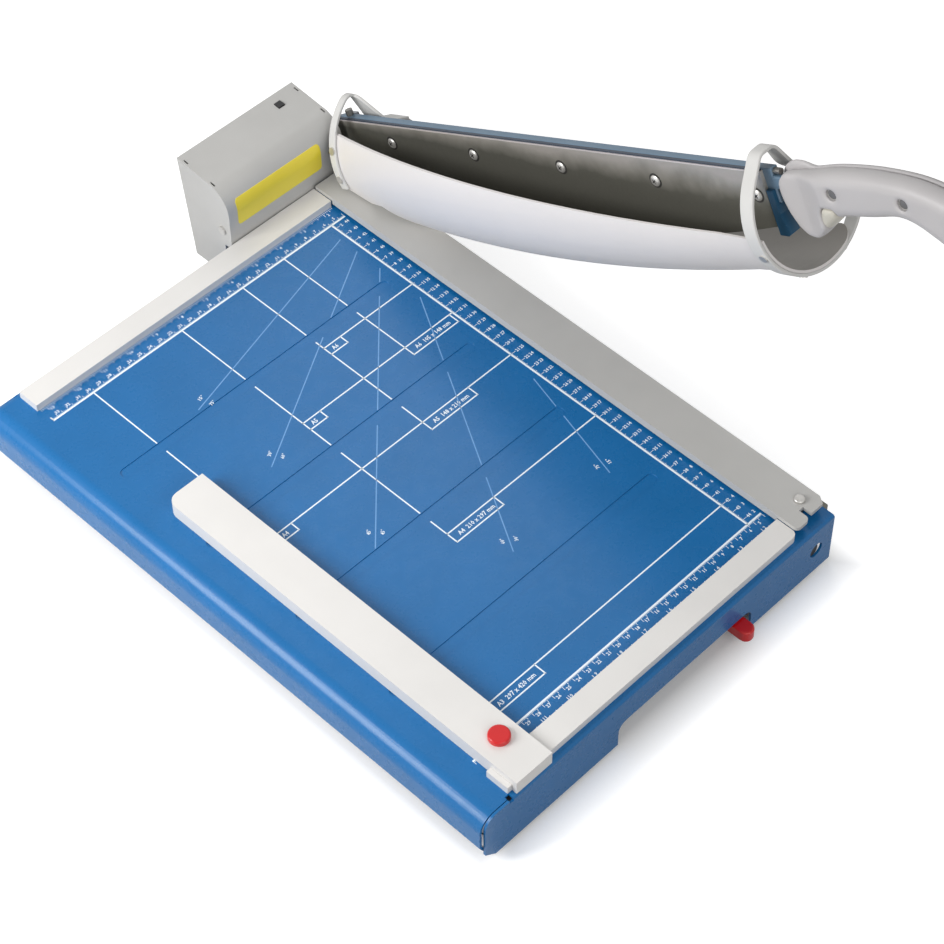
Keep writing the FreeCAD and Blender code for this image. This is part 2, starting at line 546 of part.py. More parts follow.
posts, clamp_screws = [], []
for n, y in enumerate(POST_PLACES):
    stem = rod("post_stem_%d" % n, "z", "- post_in", y, "- lift_bar_top", "post_radius",
               "lift_bar_top + clamp_top - clamp_wall")
    spigot = rod("post_spigot_%d" % n, "z", "- post_in", y,
                 "- lift_bar_top - lift_bar_thickness", "lower_screw_radius",
                 "lift_bar_thickness + 1")
    tapped = rod("post_tapped_%d" % n, "z", "- post_in", y,
                 "clamp_top - clamp_wall - lower_screw_depth", "bar_screw_radius",
                 "lower_screw_depth + 1")
    posts.append(cut("post_%d" % n, fused("post_whole_%d" % n, stem, spigot), tapped))
    screw = fused("clamp_screw_whole_%d" % n,
                  rod("clamp_screw_head_%d" % n, "z", "- post_in", y, "clamp_top",
                      "clamp_screw_head", "clamp_screw_rise"),
                  rod("clamp_screw_shank_%d" % n, "z", "- post_in", y,
                      "clamp_top - clamp_wall - lower_screw_depth + 1", "bar_screw_radius",
                      "clamp_wall + lower_screw_depth - 1"))
    clamp_screws.append(filleted(
        "clamp_screw_%d" % n, screw, "pan_round",
        lambda e: near(e, z=size("clamp_top") + size("clamp_screw_rise"))
        and e.Closed and abs(e.Length / 2 / math.pi - size("clamp_screw_head")) < 0.01))
keep(grouped("post_group", *posts), "clamp_posts")
keep(grouped("clamp_screw_group", *clamp_screws), "clamp_screws")

lift_bar = block("lift_bar_whole", "- lift_bar_left", "- post_front - post_radius * 2",
                 "- lift_bar_top - lift_bar_thickness", "lift_bar_left - lift_bar_right",
                 "post_front - post_back + post_radius * 4", "lift_bar_thickness")
keep(cut("lift_bar_cut", lift_bar, *[
    rod("lift_bar_hole_%d" % n, "z", "- post_in", y, "- lift_bar_top - lift_bar_thickness - 1",
        "lower_screw_radius", "lift_bar_thickness + 2")
    for n, y in enumerate(POST_PLACES)]), "clamp_lift_bar")

RAMP_LOW = "- lift_bar_top - lift_bar_thickness"
ramp_wedge = plate("ramp_wedge", "yz", [
    ("- ramp_back", RAMP_LOW),
    ("- ramp_run_start", RAMP_LOW),
    ("- ramp_run_end", RAMP_LOW + " + clamp_travel"),
    ("- ramp_front", RAMP_LOW + " + clamp_travel"),
    ("- ramp_front", RAMP_LOW + " - ramp_under"),
    ("- ramp_back", RAMP_LOW + " - ramp_under"),
], "- ramp_left", "ramp_left - lift_bar_left")
ramp_shelf = block("ramp_shelf", "- lift_bar_left", "- ramp_front", RAMP_LOW + " - ramp_under",
                   "lift_bar_left - post_in", "ramp_front - ramp_back", "ramp_under")
keep(fused("ramp_whole", ramp_wedge, ramp_shelf), "clamp_ramp")

# ---- clamp lever ----

LEVER_X, LEVER_Y = "- lever_pivot_in", "- lever_pivot_front"
LEVER_LOW = RAMP_LOW + " + lever_gap"
boss = rod("boss_whole", "z", LEVER_X, LEVER_Y, LEVER_LOW + " + lever_thickness + guide_gap",
           "boss_radius", "0 - ( %s + lever_thickness + guide_gap ) - sheet_wall" % LEVER_LOW)
boss_bore = rod("boss_bore", "z", LEVER_X, LEVER_Y, LEVER_LOW, "lever_shaft_radius",
                "lever_thickness + boss_thread + 1")
keep(cut("boss_cut", boss, boss_bore), "lever_boss")
keep(fused("lever_screw_whole",
           rod("lever_screw_shank", "z", LEVER_X, LEVER_Y, LEVER_LOW + " - guide_gap",
               "lever_shaft_radius", "lever_thickness + guide_gap + boss_thread"),
           rod("lever_screw_head", "z", LEVER_X, LEVER_Y,
               LEVER_LOW + " - guide_gap - lever_head_height", "lever_head_radius",
               "lever_head_height")), "lever_pivot_screw")
lever = fused("lever_whole",
              rod("lever_hub", "z", LEVER_X, LEVER_Y, LEVER_LOW, "lever_hub_radius",
                  "lever_thickness"),
              block("lever_shaft", LEVER_X + " - lever_width / 2", "- lever_front", LEVER_LOW,
                    "lever_width", "lever_front - lever_pivot_front", "lever_thickness"),
              block("lever_finger_bar", LEVER_X, LEVER_Y + " - lever_finger_width / 2", LEVER_LOW,
                    "lever_finger", "lever_finger_width", "lever_thickness"))
keep(cut("lever_cut", lever, rod("lever_bore", "z", LEVER_X, LEVER_Y, LEVER_LOW + " - 1",
                                 "lever_shaft_radius + running_gap", "lever_thickness + 2")),
     "lever_arm")
grip_low = LEVER_LOW + " + lever_thickness / 2 - grip_height / 2"
grip = block("grip_whole", LEVER_X + " - grip_width / 2", "- grip_front", grip_low, "grip_width",
             "grip_front - grip_back", "grip_height")
grip = filleted("grip_nose", grip, "grip_nose_radius",
                lambda e: along(e, Vector(0, 0, 1)) and near(e, y=-size("grip_front")))
slot = block("grip_slot", LEVER_X + " - lever_width / 2", "- lever_front", LEVER_LOW,
             "lever_width", "lever_front - grip_back + 1", "lever_thickness")
keep(cut("grip_cut", grip, slot), "lever_grip")

# ---- side guide ----

guide = block("guide_outer", "- guide_left", "- guide_front", "guide_gap",
              "guide_left - guide_right", "guide_front - guide_back", "guide_top - guide_gap")
guide = filleted("guide_rounded", guide, "guide_corner",
                 lambda e: along(e, Vector(0, 0, 1))
                 and near(e, x=-size("guide_left"), y=-size("guide_back")))
hollow = block("guide_hollow", "- guide_left + guide_wall", "- front_bar_far - guide_gap",
               "- 1", "guide_left - guide_right - 2 * guide_wall",
               "front_bar_far + guide_gap - guide_back - guide_corner", "guide_top - guide_wall + 1")
saddle = block("guide_saddle", "- guide_left - 1", "- front_bar_far - guide_gap", "-1",
               "guide_left - guide_right + 2",
               "front_bar_far - front_bar_near + 2 * guide_gap", "stop_bar_height + guide_gap + 1")
stud_hole = rod("guide_stud_hole", "z", "- knob_in", "- knob_front", "guide_top - guide_wall - 1",
                "stud_radius + running_gap", "guide_wall + 2")
keep(cut("guide_cut", guide, hollow, saddle, stud_hole), "side_guide")
clamp_block = block("clamp_block_whole", "- knob_in - block_width / 2",
                    "- front_bar_near + guide_gap", "guide_gap * 3", "block_width",
                    "block_length - guide_gap", "guide_top - guide_wall - guide_gap * 3")
keep(cut("clamp_block_cut", clamp_block,
         rod("clamp_block_bore", "z", "- knob_in", "- knob_front", "0",
             "stud_radius + running_gap", "guide_top")), "guide_clamp_block")
knob = rod("knob_whole", "z", "- knob_in", "- knob_front", "guide_top + face_gap", "knob_radius",
           "knob_height")
knob = filleted("knob_rounded", knob, "pan_round",
                lambda e: e.Closed and near(e, z=size("guide_top") + size("face_gap")
                                            + size("knob_height")))
keep(knob, "guide_knob")
keep(rod("knob_stud", "z", "- knob_in", "- knob_front", "guide_gap * 4", "stud_radius",
         "guide_top + face_gap - guide_gap * 4"), "guide_knob_stud")

# ---- laser line unit ----


def laser_slab(name, inset, left, width):
    """The unit's side profile, drawn in by inset, over a width along x."""
    return plate(name, "yz", [
        ("laser_front + " + inset, "laser_foot_gap"),
        ("laser_front + " + inset, "laser_top_front - laser_round", "laser_round - " + inset),
        ("laser_front + laser_round", "laser_top_front - " + inset),
        ("laser_back - " + inset, "laser_top_back - " + inset),
        ("laser_drop_back - " + inset, "- laser_drop"),
        ("laser_behind", "- laser_drop"),
        ("laser_behind", "laser_foot_gap"),
    ], left, width)


LASER_WIDTH = "laser_left - laser_right - 2 * laser_wall"
low_right = block("laser_low_right_cut", "- laser_low_right", "laser_front - 1", "- laser_drop - 1",
                  "laser_low_right", "laser_back - laser_front", "laser_drop + laser_foot_gap + 1")
cover = cut("laser_cover_shell",
            laser_slab("laser_outside", "0", "- laser_left + laser_wall", LASER_WIDTH),
            laser_slab("laser_inside", "laser_wall", "- laser_left", "laser_left"),
            block("laser_under", "- laser_left", "laser_behind - 1", "- laser_drop - 1",
                  "laser_left", "laser_drop_back - laser_behind - laser_wall", "laser_drop + 1"),
            low_right)
button_x = "- button_in"
tab_slots = [block("tab_slot_%d%d" % (side, n), x, y + " - tab_slot_width / 2",
                   "laser_top_front - laser_wall - 1", "laser_wall", "tab_slot_width",
                   "laser_wall + 10")
             for side, x in enumerate(("- laser_left + laser_wall", "- laser_right - 2 * laser_wall"))
             for n, y in enumerate(("tab_slot_front", "tab_slot_back"))]
cover = cut("laser_cover_cut", cover, *tab_slots,
            block("button_hole", button_x + " - button_side / 2 - button_gap",
                  "button_back - button_side / 2 - button_gap", "laser_top_front - laser_wall - 1",
                  "button_side + 2 * button_gap", "button_side + 2 * button_gap", "10"),
            rod("lens_hole", "y", "- module_in", "laser_front - 1", "module_up",
                "lens_radius", "laser_wall + 2"))
keep(cover, "laser_cover")

left_panel = laser_slab("laser_left_slab", "0", "- laser_left", "laser_wall")
keep(cut("laser_left_cut", left_panel,
         rod("left_panel_hole", "x", "- laser_left - 1", "panel_screw_back", "panel_screw_up",
             "panel_screw_shank", "laser_wall + 2")), "laser_left_panel")
right_panel = laser_slab("laser_right_slab", "0", "- laser_right - laser_wall", "laser_wall")
keep(cut("laser_right_cut", right_panel,
         block("right_panel_low", "- laser_low_right", "laser_front - 1", "- laser_drop - 1",
               "laser_low_right", "laser_back", "laser_drop + laser_foot_gap + 1"),
         rod("right_panel_hole", "x", "- laser_low_right", "pivot_back", "pivot_up",
             "bolt_head_radius + 2", "laser_low_right")), "laser_right_panel")

chassis = block("chassis_wall", "- laser_left + laser_wall + guide_gap", "laser_behind",
                "- laser_drop + 2", "laser_left - laser_wall - laser_low_right - guide_gap",
                "laser_wall", "laser_drop - 2 + shelf_up")
shelf = block("chassis_shelf", "- laser_left + laser_wall + guide_gap", "laser_behind",
              "shelf_up", "laser_left - 3 * laser_wall - laser_right - 2 * guide_gap",
              "laser_drop_back - laser_behind", "laser_wall")
ear = block("chassis_ear", "- laser_left + laser_wall + guide_gap", "laser_front + laser_wall + 2",
            "shelf_up", "laser_wall * 3", "laser_behind - laser_front", "laser_wall * 4")
cradle = block("chassis_cradle", "- module_in - module_radius - 1", "laser_front + laser_wall + 4",
               "shelf_up", "2 * module_radius + 2", "module_length - 8",
               "module_up - shelf_up")
keep(cut("chassis_cut", fused("chassis_whole", chassis, shelf, ear, cradle),
         rod("module_seat", "y", "- module_in", "laser_front", "module_up",
             "module_radius + screw_clearance", "module_length * 2"),
         rod("chassis_hole", "x", "- laser_left", "panel_screw_back", "panel_screw_up",
             "panel_screw_shank", "laser_wall * 6"),
         rod("chassis_bolt_room", "x", "- laser_low_right", "pivot_back", "pivot_up",
             "bolt_head_radius + 2", "laser_low_right")), "laser_chassis")
panel_screw = fused("panel_screw_whole",
                    rod("panel_screw_head_rod", "x", "- laser_left - 1.6", "panel_screw_back",
                        "panel_screw_up", "panel_screw_head", "1.6"),
                    rod("panel_screw_shank_rod", "x", "- laser_left", "panel_screw_back",
                        "panel_screw_up", "panel_screw_shank", "laser_wall * 4"))
keep(panel_screw, "laser_panel_screw")

module = rod("module_whole", "y", "- module_in", "laser_front + laser_wall + 1", "module_up",
             "module_radius", "module_length")
module_bore = rod("module_bore", "y", "- module_in", "laser_front", "module_up",
                  "lens_radius", "laser_wall + 1 + lens_thickness * 2")
keep(cut("module_cut", module, module_bore), "laser_module")
keep(rod("lens_whole", "y", "- module_in", "laser_front + laser_wall + 1 + lens_thickness",
         "module_up", "lens_radius", "lens_thickness"), "laser_lens")
holder = block("holder_outer", "- holder_left", "laser_behind + laser_wall", "shelf_up + laser_wall",
               "holder_length", "holder_width", "holder_height")
holder_hollow = block("holder_hollow", "- holder_left + laser_wall", "laser_behind + 2 * laser_wall",
                      "shelf_up + 2 * laser_wall", "holder_length - 2 * laser_wall",
                      "holder_width - 2 * laser_wall", "holder_height")
keep(cut("holder_cut", holder, holder_hollow), "battery_holder")
keep(grouped("battery_group", *[
    rod("battery_%d" % n, "x", "- holder_left + holder_length / 2 - battery_length / 2",
        "laser_behind + laser_wall + holder_width * %d / 4" % place_in,
        "shelf_up + 2 * laser_wall + battery_radius", "battery_radius", "battery_length")
    for n, place_in in enumerate((1, 3))]), "batteries")
button_low = "shelf_up + laser_wall + button_travel * 2"
keep(block("button_whole", button_x + " - button_side / 2", "button_back - button_side / 2",
           button_low, "button_side", "button_side",
           "laser_top_at_button + button_rise - ( %s )" % button_low), "laser_button")
label_skin = cut("label_skin",
                 laser_slab("label_outside", "( 0 - label_thickness )", "- label_left",
                            "label_left - label_right"),
                 laser_slab("label_inside", "0", "- laser_left", "laser_left"))
label_region = block("label_region", "- label_left", "laser_front - 1", "label_low",
                     "label_left - label_right", "laser_round", "label_high - label_low")
label_region = filleted("label_region_rounded", label_region, "label_corner",
                        lambda e: along(e, Vector(0, 1, 0)))
keep(common("label_common", label_skin, label_region), "label_plate")

# ---- arm pivot ----

bracket = plate("bracket_plate", "yz", [
    ("bracket_front", "bracket_top"),
    ("bracket_back", "bracket_top"),
    ("bracket_back", "- bracket_bottom"),
    ("table_back + laser_wall", "- bracket_bottom"),
    ("table_back + laser_wall", "- rail_drop"),
    ("bracket_front", "- rail_drop"),
], "- lower_blade_thickness", "lower_blade_thickness - bracket_face")
bracket_boss = rod("bracket_boss", "x", "- lower_blade_thickness", "pivot_back", "pivot_up",
                   "bracket_boss_radius", "lower_blade_thickness + bar_left - face_gap")
bracket_block = block("bracket_block", "- rail_left + 6", "table_back + 2 * guide_gap",
                      "- bracket_bottom", "rail_left - 6 - lower_blade_thickness + 1",
                      "bracket_back - table_back - laser_drop_back + laser_behind + 20",
                      "bracket_bottom - face_gap * 10")
keep(cut("bracket_cut", fused("bracket_whole", bracket, bracket_boss, bracket_block),
         rod("bracket_bore", "x", "- rail_left", "pivot_back", "pivot_up", "bolt_radius",
             "rail_left * 2"),
         *[countersunk("bracket_hole_%d" % n, "0 - bracket_face",
                       "bracket_front + bracket_screw_back", z, "screw_clearance")
           for n, z in enumerate(BRACKET_SCREWS)]), "pivot_bracket")
keep(grouped("bracket_screw_group", *[
    countersunk("bracket_screw_%d" % n, "0 - bracket_face",
                "bracket_front + bracket_screw_back", z, "0")
    for n, z in enumerate(BRACKET_SCREWS)]), "pivot_bracket_screws")
STACK = "bar_right + face_gap + washer_thickness + spring_stack"
keep(fused("bolt_whole",
           rod("bolt_shank", "x", "- lower_blade_thickness", "pivot_back", "pivot_up",
               "bolt_radius", "lower_blade_thickness + %s + nut_height + 1" % STACK),
           hexagon("bolt_head", "- lower_blade_thickness - bolt_head_height", "pivot_back",
                   "pivot_up", "bolt_head_radius", "bolt_head_height")), "pivot_bolt")


def ring(name, axis, x, y, z, radius, bore, length):
    return cut(name, rod(name + "_rim", axis, x, y, z, radius, length),
               rod(name + "_bore", axis, x, y, z, bore, length))


BOLT_BORE = "bolt_radius + running_gap"
keep(grouped("washer_group",
             ring("thrust_washer", "x", "bar_right + face_gap", "pivot_back", "pivot_up",
                  "washer_radius", BOLT_BORE, "washer_thickness"),
             ring("spring_washer_0", "x", "bar_right + face_gap + washer_thickness", "pivot_back",
                  "pivot_up", "washer_radius - 1", BOLT_BORE, "spring_stack / 2"),
             ring("spring_washer_1", "x",
                  "bar_right + face_gap + washer_thickness + spring_stack / 2", "pivot_back",
                  "pivot_up", "washer_radius - 1", BOLT_BORE, "spring_stack / 2")),
     "pivot_washers")
keep(cut("nut_cut", hexagon("nut_whole", STACK, "pivot_back", "pivot_up", "nut_radius",
                            "nut_height"),
         rod("nut_bore", "x", STACK, "pivot_back", "pivot_up", "bolt_radius", "nut_height")),
     "pivot_nut")

# ---- arm: bar, upper blade, guard brackets, handle (arm frame) ----

TANG_REACH = "( bar_front_reach + tang_length )"
BLADE_REACH = "( bar_front_reach - blade_end_back )"
BLADE_SCREW_PITCH = "( bar_front_reach - blade_screw_first - blade_screw_last_back ) / 4"
BLADE_SCREWS = ["- blade_screw_first - %d * %s" % (n, BLADE_SCREW_PITCH) for n in range(4 + 1)]
HANDLE_SCREWS = ["- bar_front_reach - handle_screw_first",
                 "- bar_front_reach - tang_length + handle_screw_last_back"]
bar = plate("bar_outline", "yz", [
    ("0", "bar_lug_radius"),
    ("- bar_rear_reach", "bar_rear_top"),
    ("- bar_front_reach", "bar_front_top"),
    ("- bar_front_reach", "bar_front_bottom"),
    ("- bar_rear_bottom_reach", "- bar_rear_bottom"),
    ("0", "- bar_lug_radius"),
], "bar_left", "bar_right - bar_left")
bar_lug = rod("bar_lug", "x", "bar_left", "0", "0", "bar_lug_radius", "bar_right - bar_left")
tang = block("tang", "bar_left", "- " + TANG_REACH, "tang_bottom", "bar_right - bar_left",
             "tang_length + 5", "tang_top - tang_bottom")
bar_cuts = [rod("bush_seat", "x", "0", "0", "0", "bolt_radius + running_gap + bush_wall",
                "bar_right + 1")]
bar_cuts += [rod("bar_thread_%d" % n, "x", "0", y, "blade_screw_up", "blade_screw_radius",
                 "bar_right + 1") for n, y in enumerate(BLADE_SCREWS)]
bar_cuts += [rod("tang_hole_%d" % n, "x", "0", y, "handle_screw_up",
                 "handle_screw_radius + screw_clearance", "bar_right + 1")
             for n, y in enumerate(HANDLE_SCREWS)]
bar = filleted("bar_softened", fused("bar_whole", bar, bar_lug, tang), "bar_round",
               lambda e: near(e, x=size("bar_left")) or near(e, x=size("bar_right")))
keep(cut("bar_cut", bar, *bar_cuts), "arm_bar", "arm")
keep(ring("bush", "x", "bar_left", "0", "0", "bolt_radius + running_gap + bush_wall", BOLT_BORE,
          "bar_right - bar_left"), "arm_bush", "arm")

blade = plate("blade_outline", "yz", [
    ("- blade_rear_top_reach", "bar_rear_top - blade_top_step"),
    ("- " + BLADE_REACH, "bar_front_top - blade_top_step"),
    ("- " + BLADE_REACH, "- blade_front_low", "- blade_edge_radius"),
    ("- blade_rear_low_reach", "- blade_rear_low"),
    ("- blade_rear_reach", "0"),
], "blade_gap", "bar_left - blade_gap")
keep(cut("blade_cut", blade, *[
    rod("blade_hole_%d" % n, "x", "-1", y, "blade_screw_up",
        "blade_screw_radius + screw_clearance", "bar_right")
    for n, y in enumerate(BLADE_SCREWS)]), "upper_blade", "arm")
blade_screws = []
for n, y in enumerate(BLADE_SCREWS):
    screw = fused("blade_screw_whole_%d" % n,
                  rod("blade_screw_head_%d" % n, "x", "blade_gap - blade_screw_rise", y,
                      "blade_screw_up", "blade_screw_head", "blade_screw_rise"),
                  rod("blade_screw_shank_%d" % n, "x", "blade_gap", y, "blade_screw_up",
                      "blade_screw_radius", "bar_right - blade_gap"))
    blade_screws.append(filleted(
        "blade_screw_%d" % n, screw, "pan_round",
        lambda e: e.Closed and near(e, x=size("blade_gap") - size("blade_screw_rise"))))
keep(grouped("blade_screw_group", *blade_screws), "blade_screws", "arm")

GUIDE_REAR = "- %s - end_guide_gap" % BLADE_REACH
GUIDE_FRONT = GUIDE_REAR + " - end_guide_width"
end_guide_low = [
    (GUIDE_FRONT, "- end_guide_low / 4"),
    (GUIDE_REAR + " - end_guide_foot", "- end_guide_low + 2"),
    (GUIDE_REAR + " - end_guide_foot + 3", "- end_guide_low"),
    (GUIDE_REAR, "- end_guide_low"),
]
keep(fused("end_guide_whole",
           plate("end_guide_thin", "yz",
                 [(GUIDE_REAR, "end_guide_top"), (GUIDE_FRONT, "end_guide_top")] + end_guide_low,
                 "blade_gap * 2", "bar_left - blade_gap * 2"),
           plate("end_guide_foot_plate", "yz",
                 [(GUIDE_REAR, "bar_front_bottom - face_gap * 5"),
                  (GUIDE_FRONT, "bar_front_bottom - face_gap * 5")] + end_guide_low,
                 "bar_left", "end_guide_thick - bar_left")), "blade_end_guide", "arm")
keep(rod("end_pin_whole", "y", "( bar_left + bar_right ) / 2", "- bar_front_reach - end_pin_length",
         "end_pin_up", "end_pin_radius", "end_pin_length"), "arm_end_pin", "arm")
rear_pin_foot = ("bar_rear_top + ( bar_front_top - bar_rear_top ) * ( rear_pin_reach"
                 " + rear_pin_radius - bar_rear_reach ) / ( bar_front_reach - bar_rear_reach )")
keep(rod("rear_pin_whole", "z", "( bar_left + bar_right ) / 2", "- rear_pin_reach",
         rear_pin_foot, "rear_pin_radius", "rear_pin_rise"), "arm_rear_pin", "arm")

AXIS_X, AXIS_Z = "guard_axis_out", "- guard_axis_down"
FRONT_STRAP_REAR = "( bar_front_reach - front_strap_back )"
bracket_reaches = (("front", FRONT_STRAP_REAR + " - guard_side_gap"),
                   ("rear", "rear_strap_rear - guard_side_gap"))
guard_brackets, guard_pins = [], []
for label, reach in bracket_reaches:
    face = "- ( %s )" % reach
    lug = block(label + "_bracket_lug", "bar_right", face, AXIS_Z + " - guard_bracket_height / 2",
                "guard_axis_out - bar_right", "guard_bracket_plate", "guard_bracket_height")
    eye = rod(label + "_bracket_eye", "y", AXIS_X, face, AXIS_Z, "guard_bracket_height / 2",
              "guard_bracket_plate")
    foot = block(label + "_bracket_foot", "bar_right", face,
                 AXIS_Z + " - guard_bracket_height / 2", "guard_bracket_flange",
                 "guard_bracket_plate", "guard_bracket_height + guard_bracket_length")
    bore = rod(label + "_bracket_bore", "y", AXIS_X, face, AXIS_Z, "hub_pin_radius",
               "guard_bracket_plate")
    guard_brackets.append(cut(label + "_bracket", fused(label + "_bracket_whole", lug, eye, foot),
                              bore))
leg_widths = {"front": "front_strap_width", "rear": "rear_leg_width"}
strap_rears = {"front": FRONT_STRAP_REAR, "rear": "rear_strap_rear"}
for label, reach in bracket_reaches:
    tip = "- ( %s + %s + guard_side_gap )" % (strap_rears[label], leg_widths[label])
    length = "guard_bracket_plate + %s + 2 * guard_side_gap" % leg_widths[label]
    guard_pins.append(fused(label + "_pin",
                            rod(label + "_pin_stem", "y", AXIS_X, tip, AXIS_Z, "hub_pin_radius",
                                length),
                            rod(label + "_pin_head", "y", AXIS_X, tip + " - pin_head_height",
                                AXIS_Z, "hub_pin_radius + 2", "pin_head_height")))
keep(grouped("guard_bracket_group", *guard_brackets), "guard_pivot_brackets", "arm")
keep(grouped("guard_pin_group", *guard_pins), "guard_pivot_pins", "arm")

# ---- handle (arm frame) ----

# The grip's side outline: (distance beyond the bar's front end, height), front top first.
HANDLE_OUTLINE = [
    (14.0, 26.6), (26.0, 28.2), (38.6, 30.1), (51.0, 32.4), (69.0, 34.1), (86.0, 34.9),
    (102.7, 34.5), (118.7, 33.3), (134.0, 30.8), (148.0, 26.5), (166.0, 18.5), (182.0, 7.0),
    (191.0, -7.0), (190.0, -21.0), (180.0, -30.0), (167.0, -29.0), (153.0, -18.0),
    (139.4, -7.5), (129.3, -0.7), (120.0, 4.0), (110.0, 5.8), (94.8, 4.0), (83.0, 2.5),
    (69.0, 1.4), (58.0, -0.5), (50.0, -5.5), (42.0, -11.5), (33.5, -17.8), (23.5, -21.6),
    (14.0, -17.0), (8.3, -8.4), (4.6, 2.0), (3.2, 12.0), (5.5, 21.0),
]


def handle_solid(left, right, rounded_faces):
    """The grip's outline over a width along x, rounded along the faces at these x values."""
    front = size("bar_front_reach")
    points = [Vector(left, -front - reach, up) for reach, up in HANDLE_OUTLINE]
    curve = Part.BSplineCurve()
    curve.interpolate(Points=points, PeriodicFlag=True)
    arcs = [arc.toShape() for arc in curve.toBiArcs(size("curve_step"))]
    solid = Part.Face(Part.Wire(arcs)).extrude(Vector(right - left, 0, 0))
    edges = [edge for edge in solid.Edges for face in rounded_faces
             if abs(edge.BoundBox.XMin - face) < 0.01 and abs(edge.BoundBox.XMax - face) < 0.01]
    return solid.makeFillet(size("handle_round"), edges).Solids[0]


def feature(name, shape):
    thing = doc.addObject("Part::Feature", name)
    thing.Shape = shape
    return thing


over_table = plate("handle_over_table", "xy", [
    ("handle_left_face", "0"),
    ("handle_left_face - 20", "0"),
    ("handle_left_face - 20", "- bar_front_reach - handle_slope_start - handle_slope_length"),
    ("- handle_wide_left", "- bar_front_reach - handle_slope_start - handle_slope_length"),
    ("handle_left_face", "- bar_front_reach - handle_slope_start"),
], "-100", "200")
tang_room = block("tang_room", "bar_left - tang_gap", "- %s - tang_gap" % TANG_REACH,
                  "tang_bottom - tang_gap", "bar_right - bar_left + tang_gap",
                  "tang_length + 30", "tang_top - tang_bottom + 2 * tang_gap")
bar_room = block("bar_room", "bar_left - tang_gap", "- bar_front_reach - tang_gap", "0",
                 "bar_right - bar_left + 2 * tang_gap", "30", "bar_front_top + 3")
pin_room = rod("pin_room", "y", "( bar_left + bar_right ) / 2",
               "- bar_front_reach - end_pin_length - tang_gap", "end_pin_up",
               "end_pin_radius + tang_gap", "end_pin_length + 1")
hub_room = block("hub_room", "handle_parting - 1",
                 "- %s - front_strap_width - 5" % FRONT_STRAP_REAR,
                 "-100", "100", "50", "200")
tip_region = plate("tip_region", "yz", [
    ("- bar_front_reach - tip_start", "tip_top"),
    ("- bar_front_reach - tip_start + tip_lean", "0"),
    ("- bar_front_reach - tip_start + tip_lean", "tip_top - tip_depth"),
    ("- bar_front_reach - tip_end", "tip_top - tip_depth"),
    ("- bar_front_reach - tip_end", "tip_top"),
], "-20", "60")
GRIP_LEFT, PARTING, GRIP_RIGHT = (
    -size("handle_wide_left"), size("handle_parting"), size("handle_right_face"))
grip_left = feature("grip_left", handle_solid(GRIP_LEFT, PARTING, [GRIP_LEFT]))
grip_right = feature("grip_right", handle_solid(PARTING, GRIP_RIGHT, [GRIP_RIGHT]))
grip_whole = feature("grip_whole_width",
                     handle_solid(GRIP_LEFT, GRIP_RIGHT, [GRIP_LEFT, GRIP_RIGHT]))
screw_cuts, handle_screws = [], []
for n, y in enumerate(HANDLE_SCREWS):
    screw_cuts.append(fused("handle_screw_room_%d" % n,
                            rod("handle_counterbore_%d" % n, "x", "- handle_wide_left - 1", y,
                                "handle_screw_up", "handle_screw_head + screw_clearance * 4",
                                "handle_screw_depth + 1"),
                            rod("handle_screw_hole_%d" % n, "x", "- handle_wide_left", y,
                                "handle_screw_up", "handle_screw_radius",
                                "handle_wide_left + handle_right_face - 5")))
    handle_screws.append(fused("handle_screw_%d" % n,
                               rod("handle_screw_head_%d" % n, "x",
                                   "- handle_wide_left + handle_screw_depth - 1.5", y,
                                   "handle_screw_up", "handle_screw_head", "1.5"),
                               rod("handle_screw_shank_%d" % n, "x",
                                   "- handle_wide_left + handle_screw_depth", y,
                                   "handle_screw_up", "handle_screw_radius",
                                   "handle_right_face - handle_screw_depth")))
keep(cut("handle_left_cut", grip_left, over_table, tang_room, bar_room, pin_room, tip_region,
         *screw_cuts), "handle_left", "arm")
bump = rod("handle_bump", "x", "handle_parting", "- bar_front_reach - bump_reach", "bump_up",
           "bump_radius", "bump_width")
keep(cut("handle_right_cut", fused("grip_right_with_bump", grip_right, bump), hub_room,
         tip_region, *screw_cuts), "handle_right", "arm")
keep(cut("handle_tip_cut", common("handle_tip_common", grip_whole, tip_region), over_table),
     "handle_tip", "arm")
keep(grouped("handle_screw_group", *handle_screws), "handle_screws", "arm")

# ---- guard (arm frame) ----


def polar(radius, angle):
    """A point round the guard's axis, angle in degrees from the right, anticlockwise."""
    return ("guard_axis_out + ( %s ) * cos( %s * 1deg )" % (radius, angle),
            "0 - guard_axis_down + ( %s ) * sin( %s * 1deg )" % (radius, angle))


def meeting(reach_out, angle, reach_leg, leg_angle):
    """Where two lines meet that lie at these distances from the axis, square to these angles."""
    turn = "cos( ( %s - %s ) * 1deg )" % (angle, leg_angle)
    spread = "( 1 - %s ^ 2 )" % turn
    first = "( ( %s ) - %s * ( %s ) ) / %s" % (reach_out, turn, reach_leg, spread)
    second = "( ( %s ) - %s * ( %s ) ) / %s" % (reach_leg, turn, reach_out, spread)
    return ("guard_axis_out + %s * cos( %s * 1deg ) + %s * cos( %s * 1deg )"
            % (first, angle, second, leg_angle),
            "0 - guard_axis_down + %s * sin( %s * 1deg ) + %s * sin( %s * 1deg )"
            % (first, angle, second, leg_angle))


def part_way(start, end):
    """The point a third of the way from start to end."""
    return tuple("( 2 * ( %s ) + ( %s ) ) / 3" % pair for pair in zip(start, end))


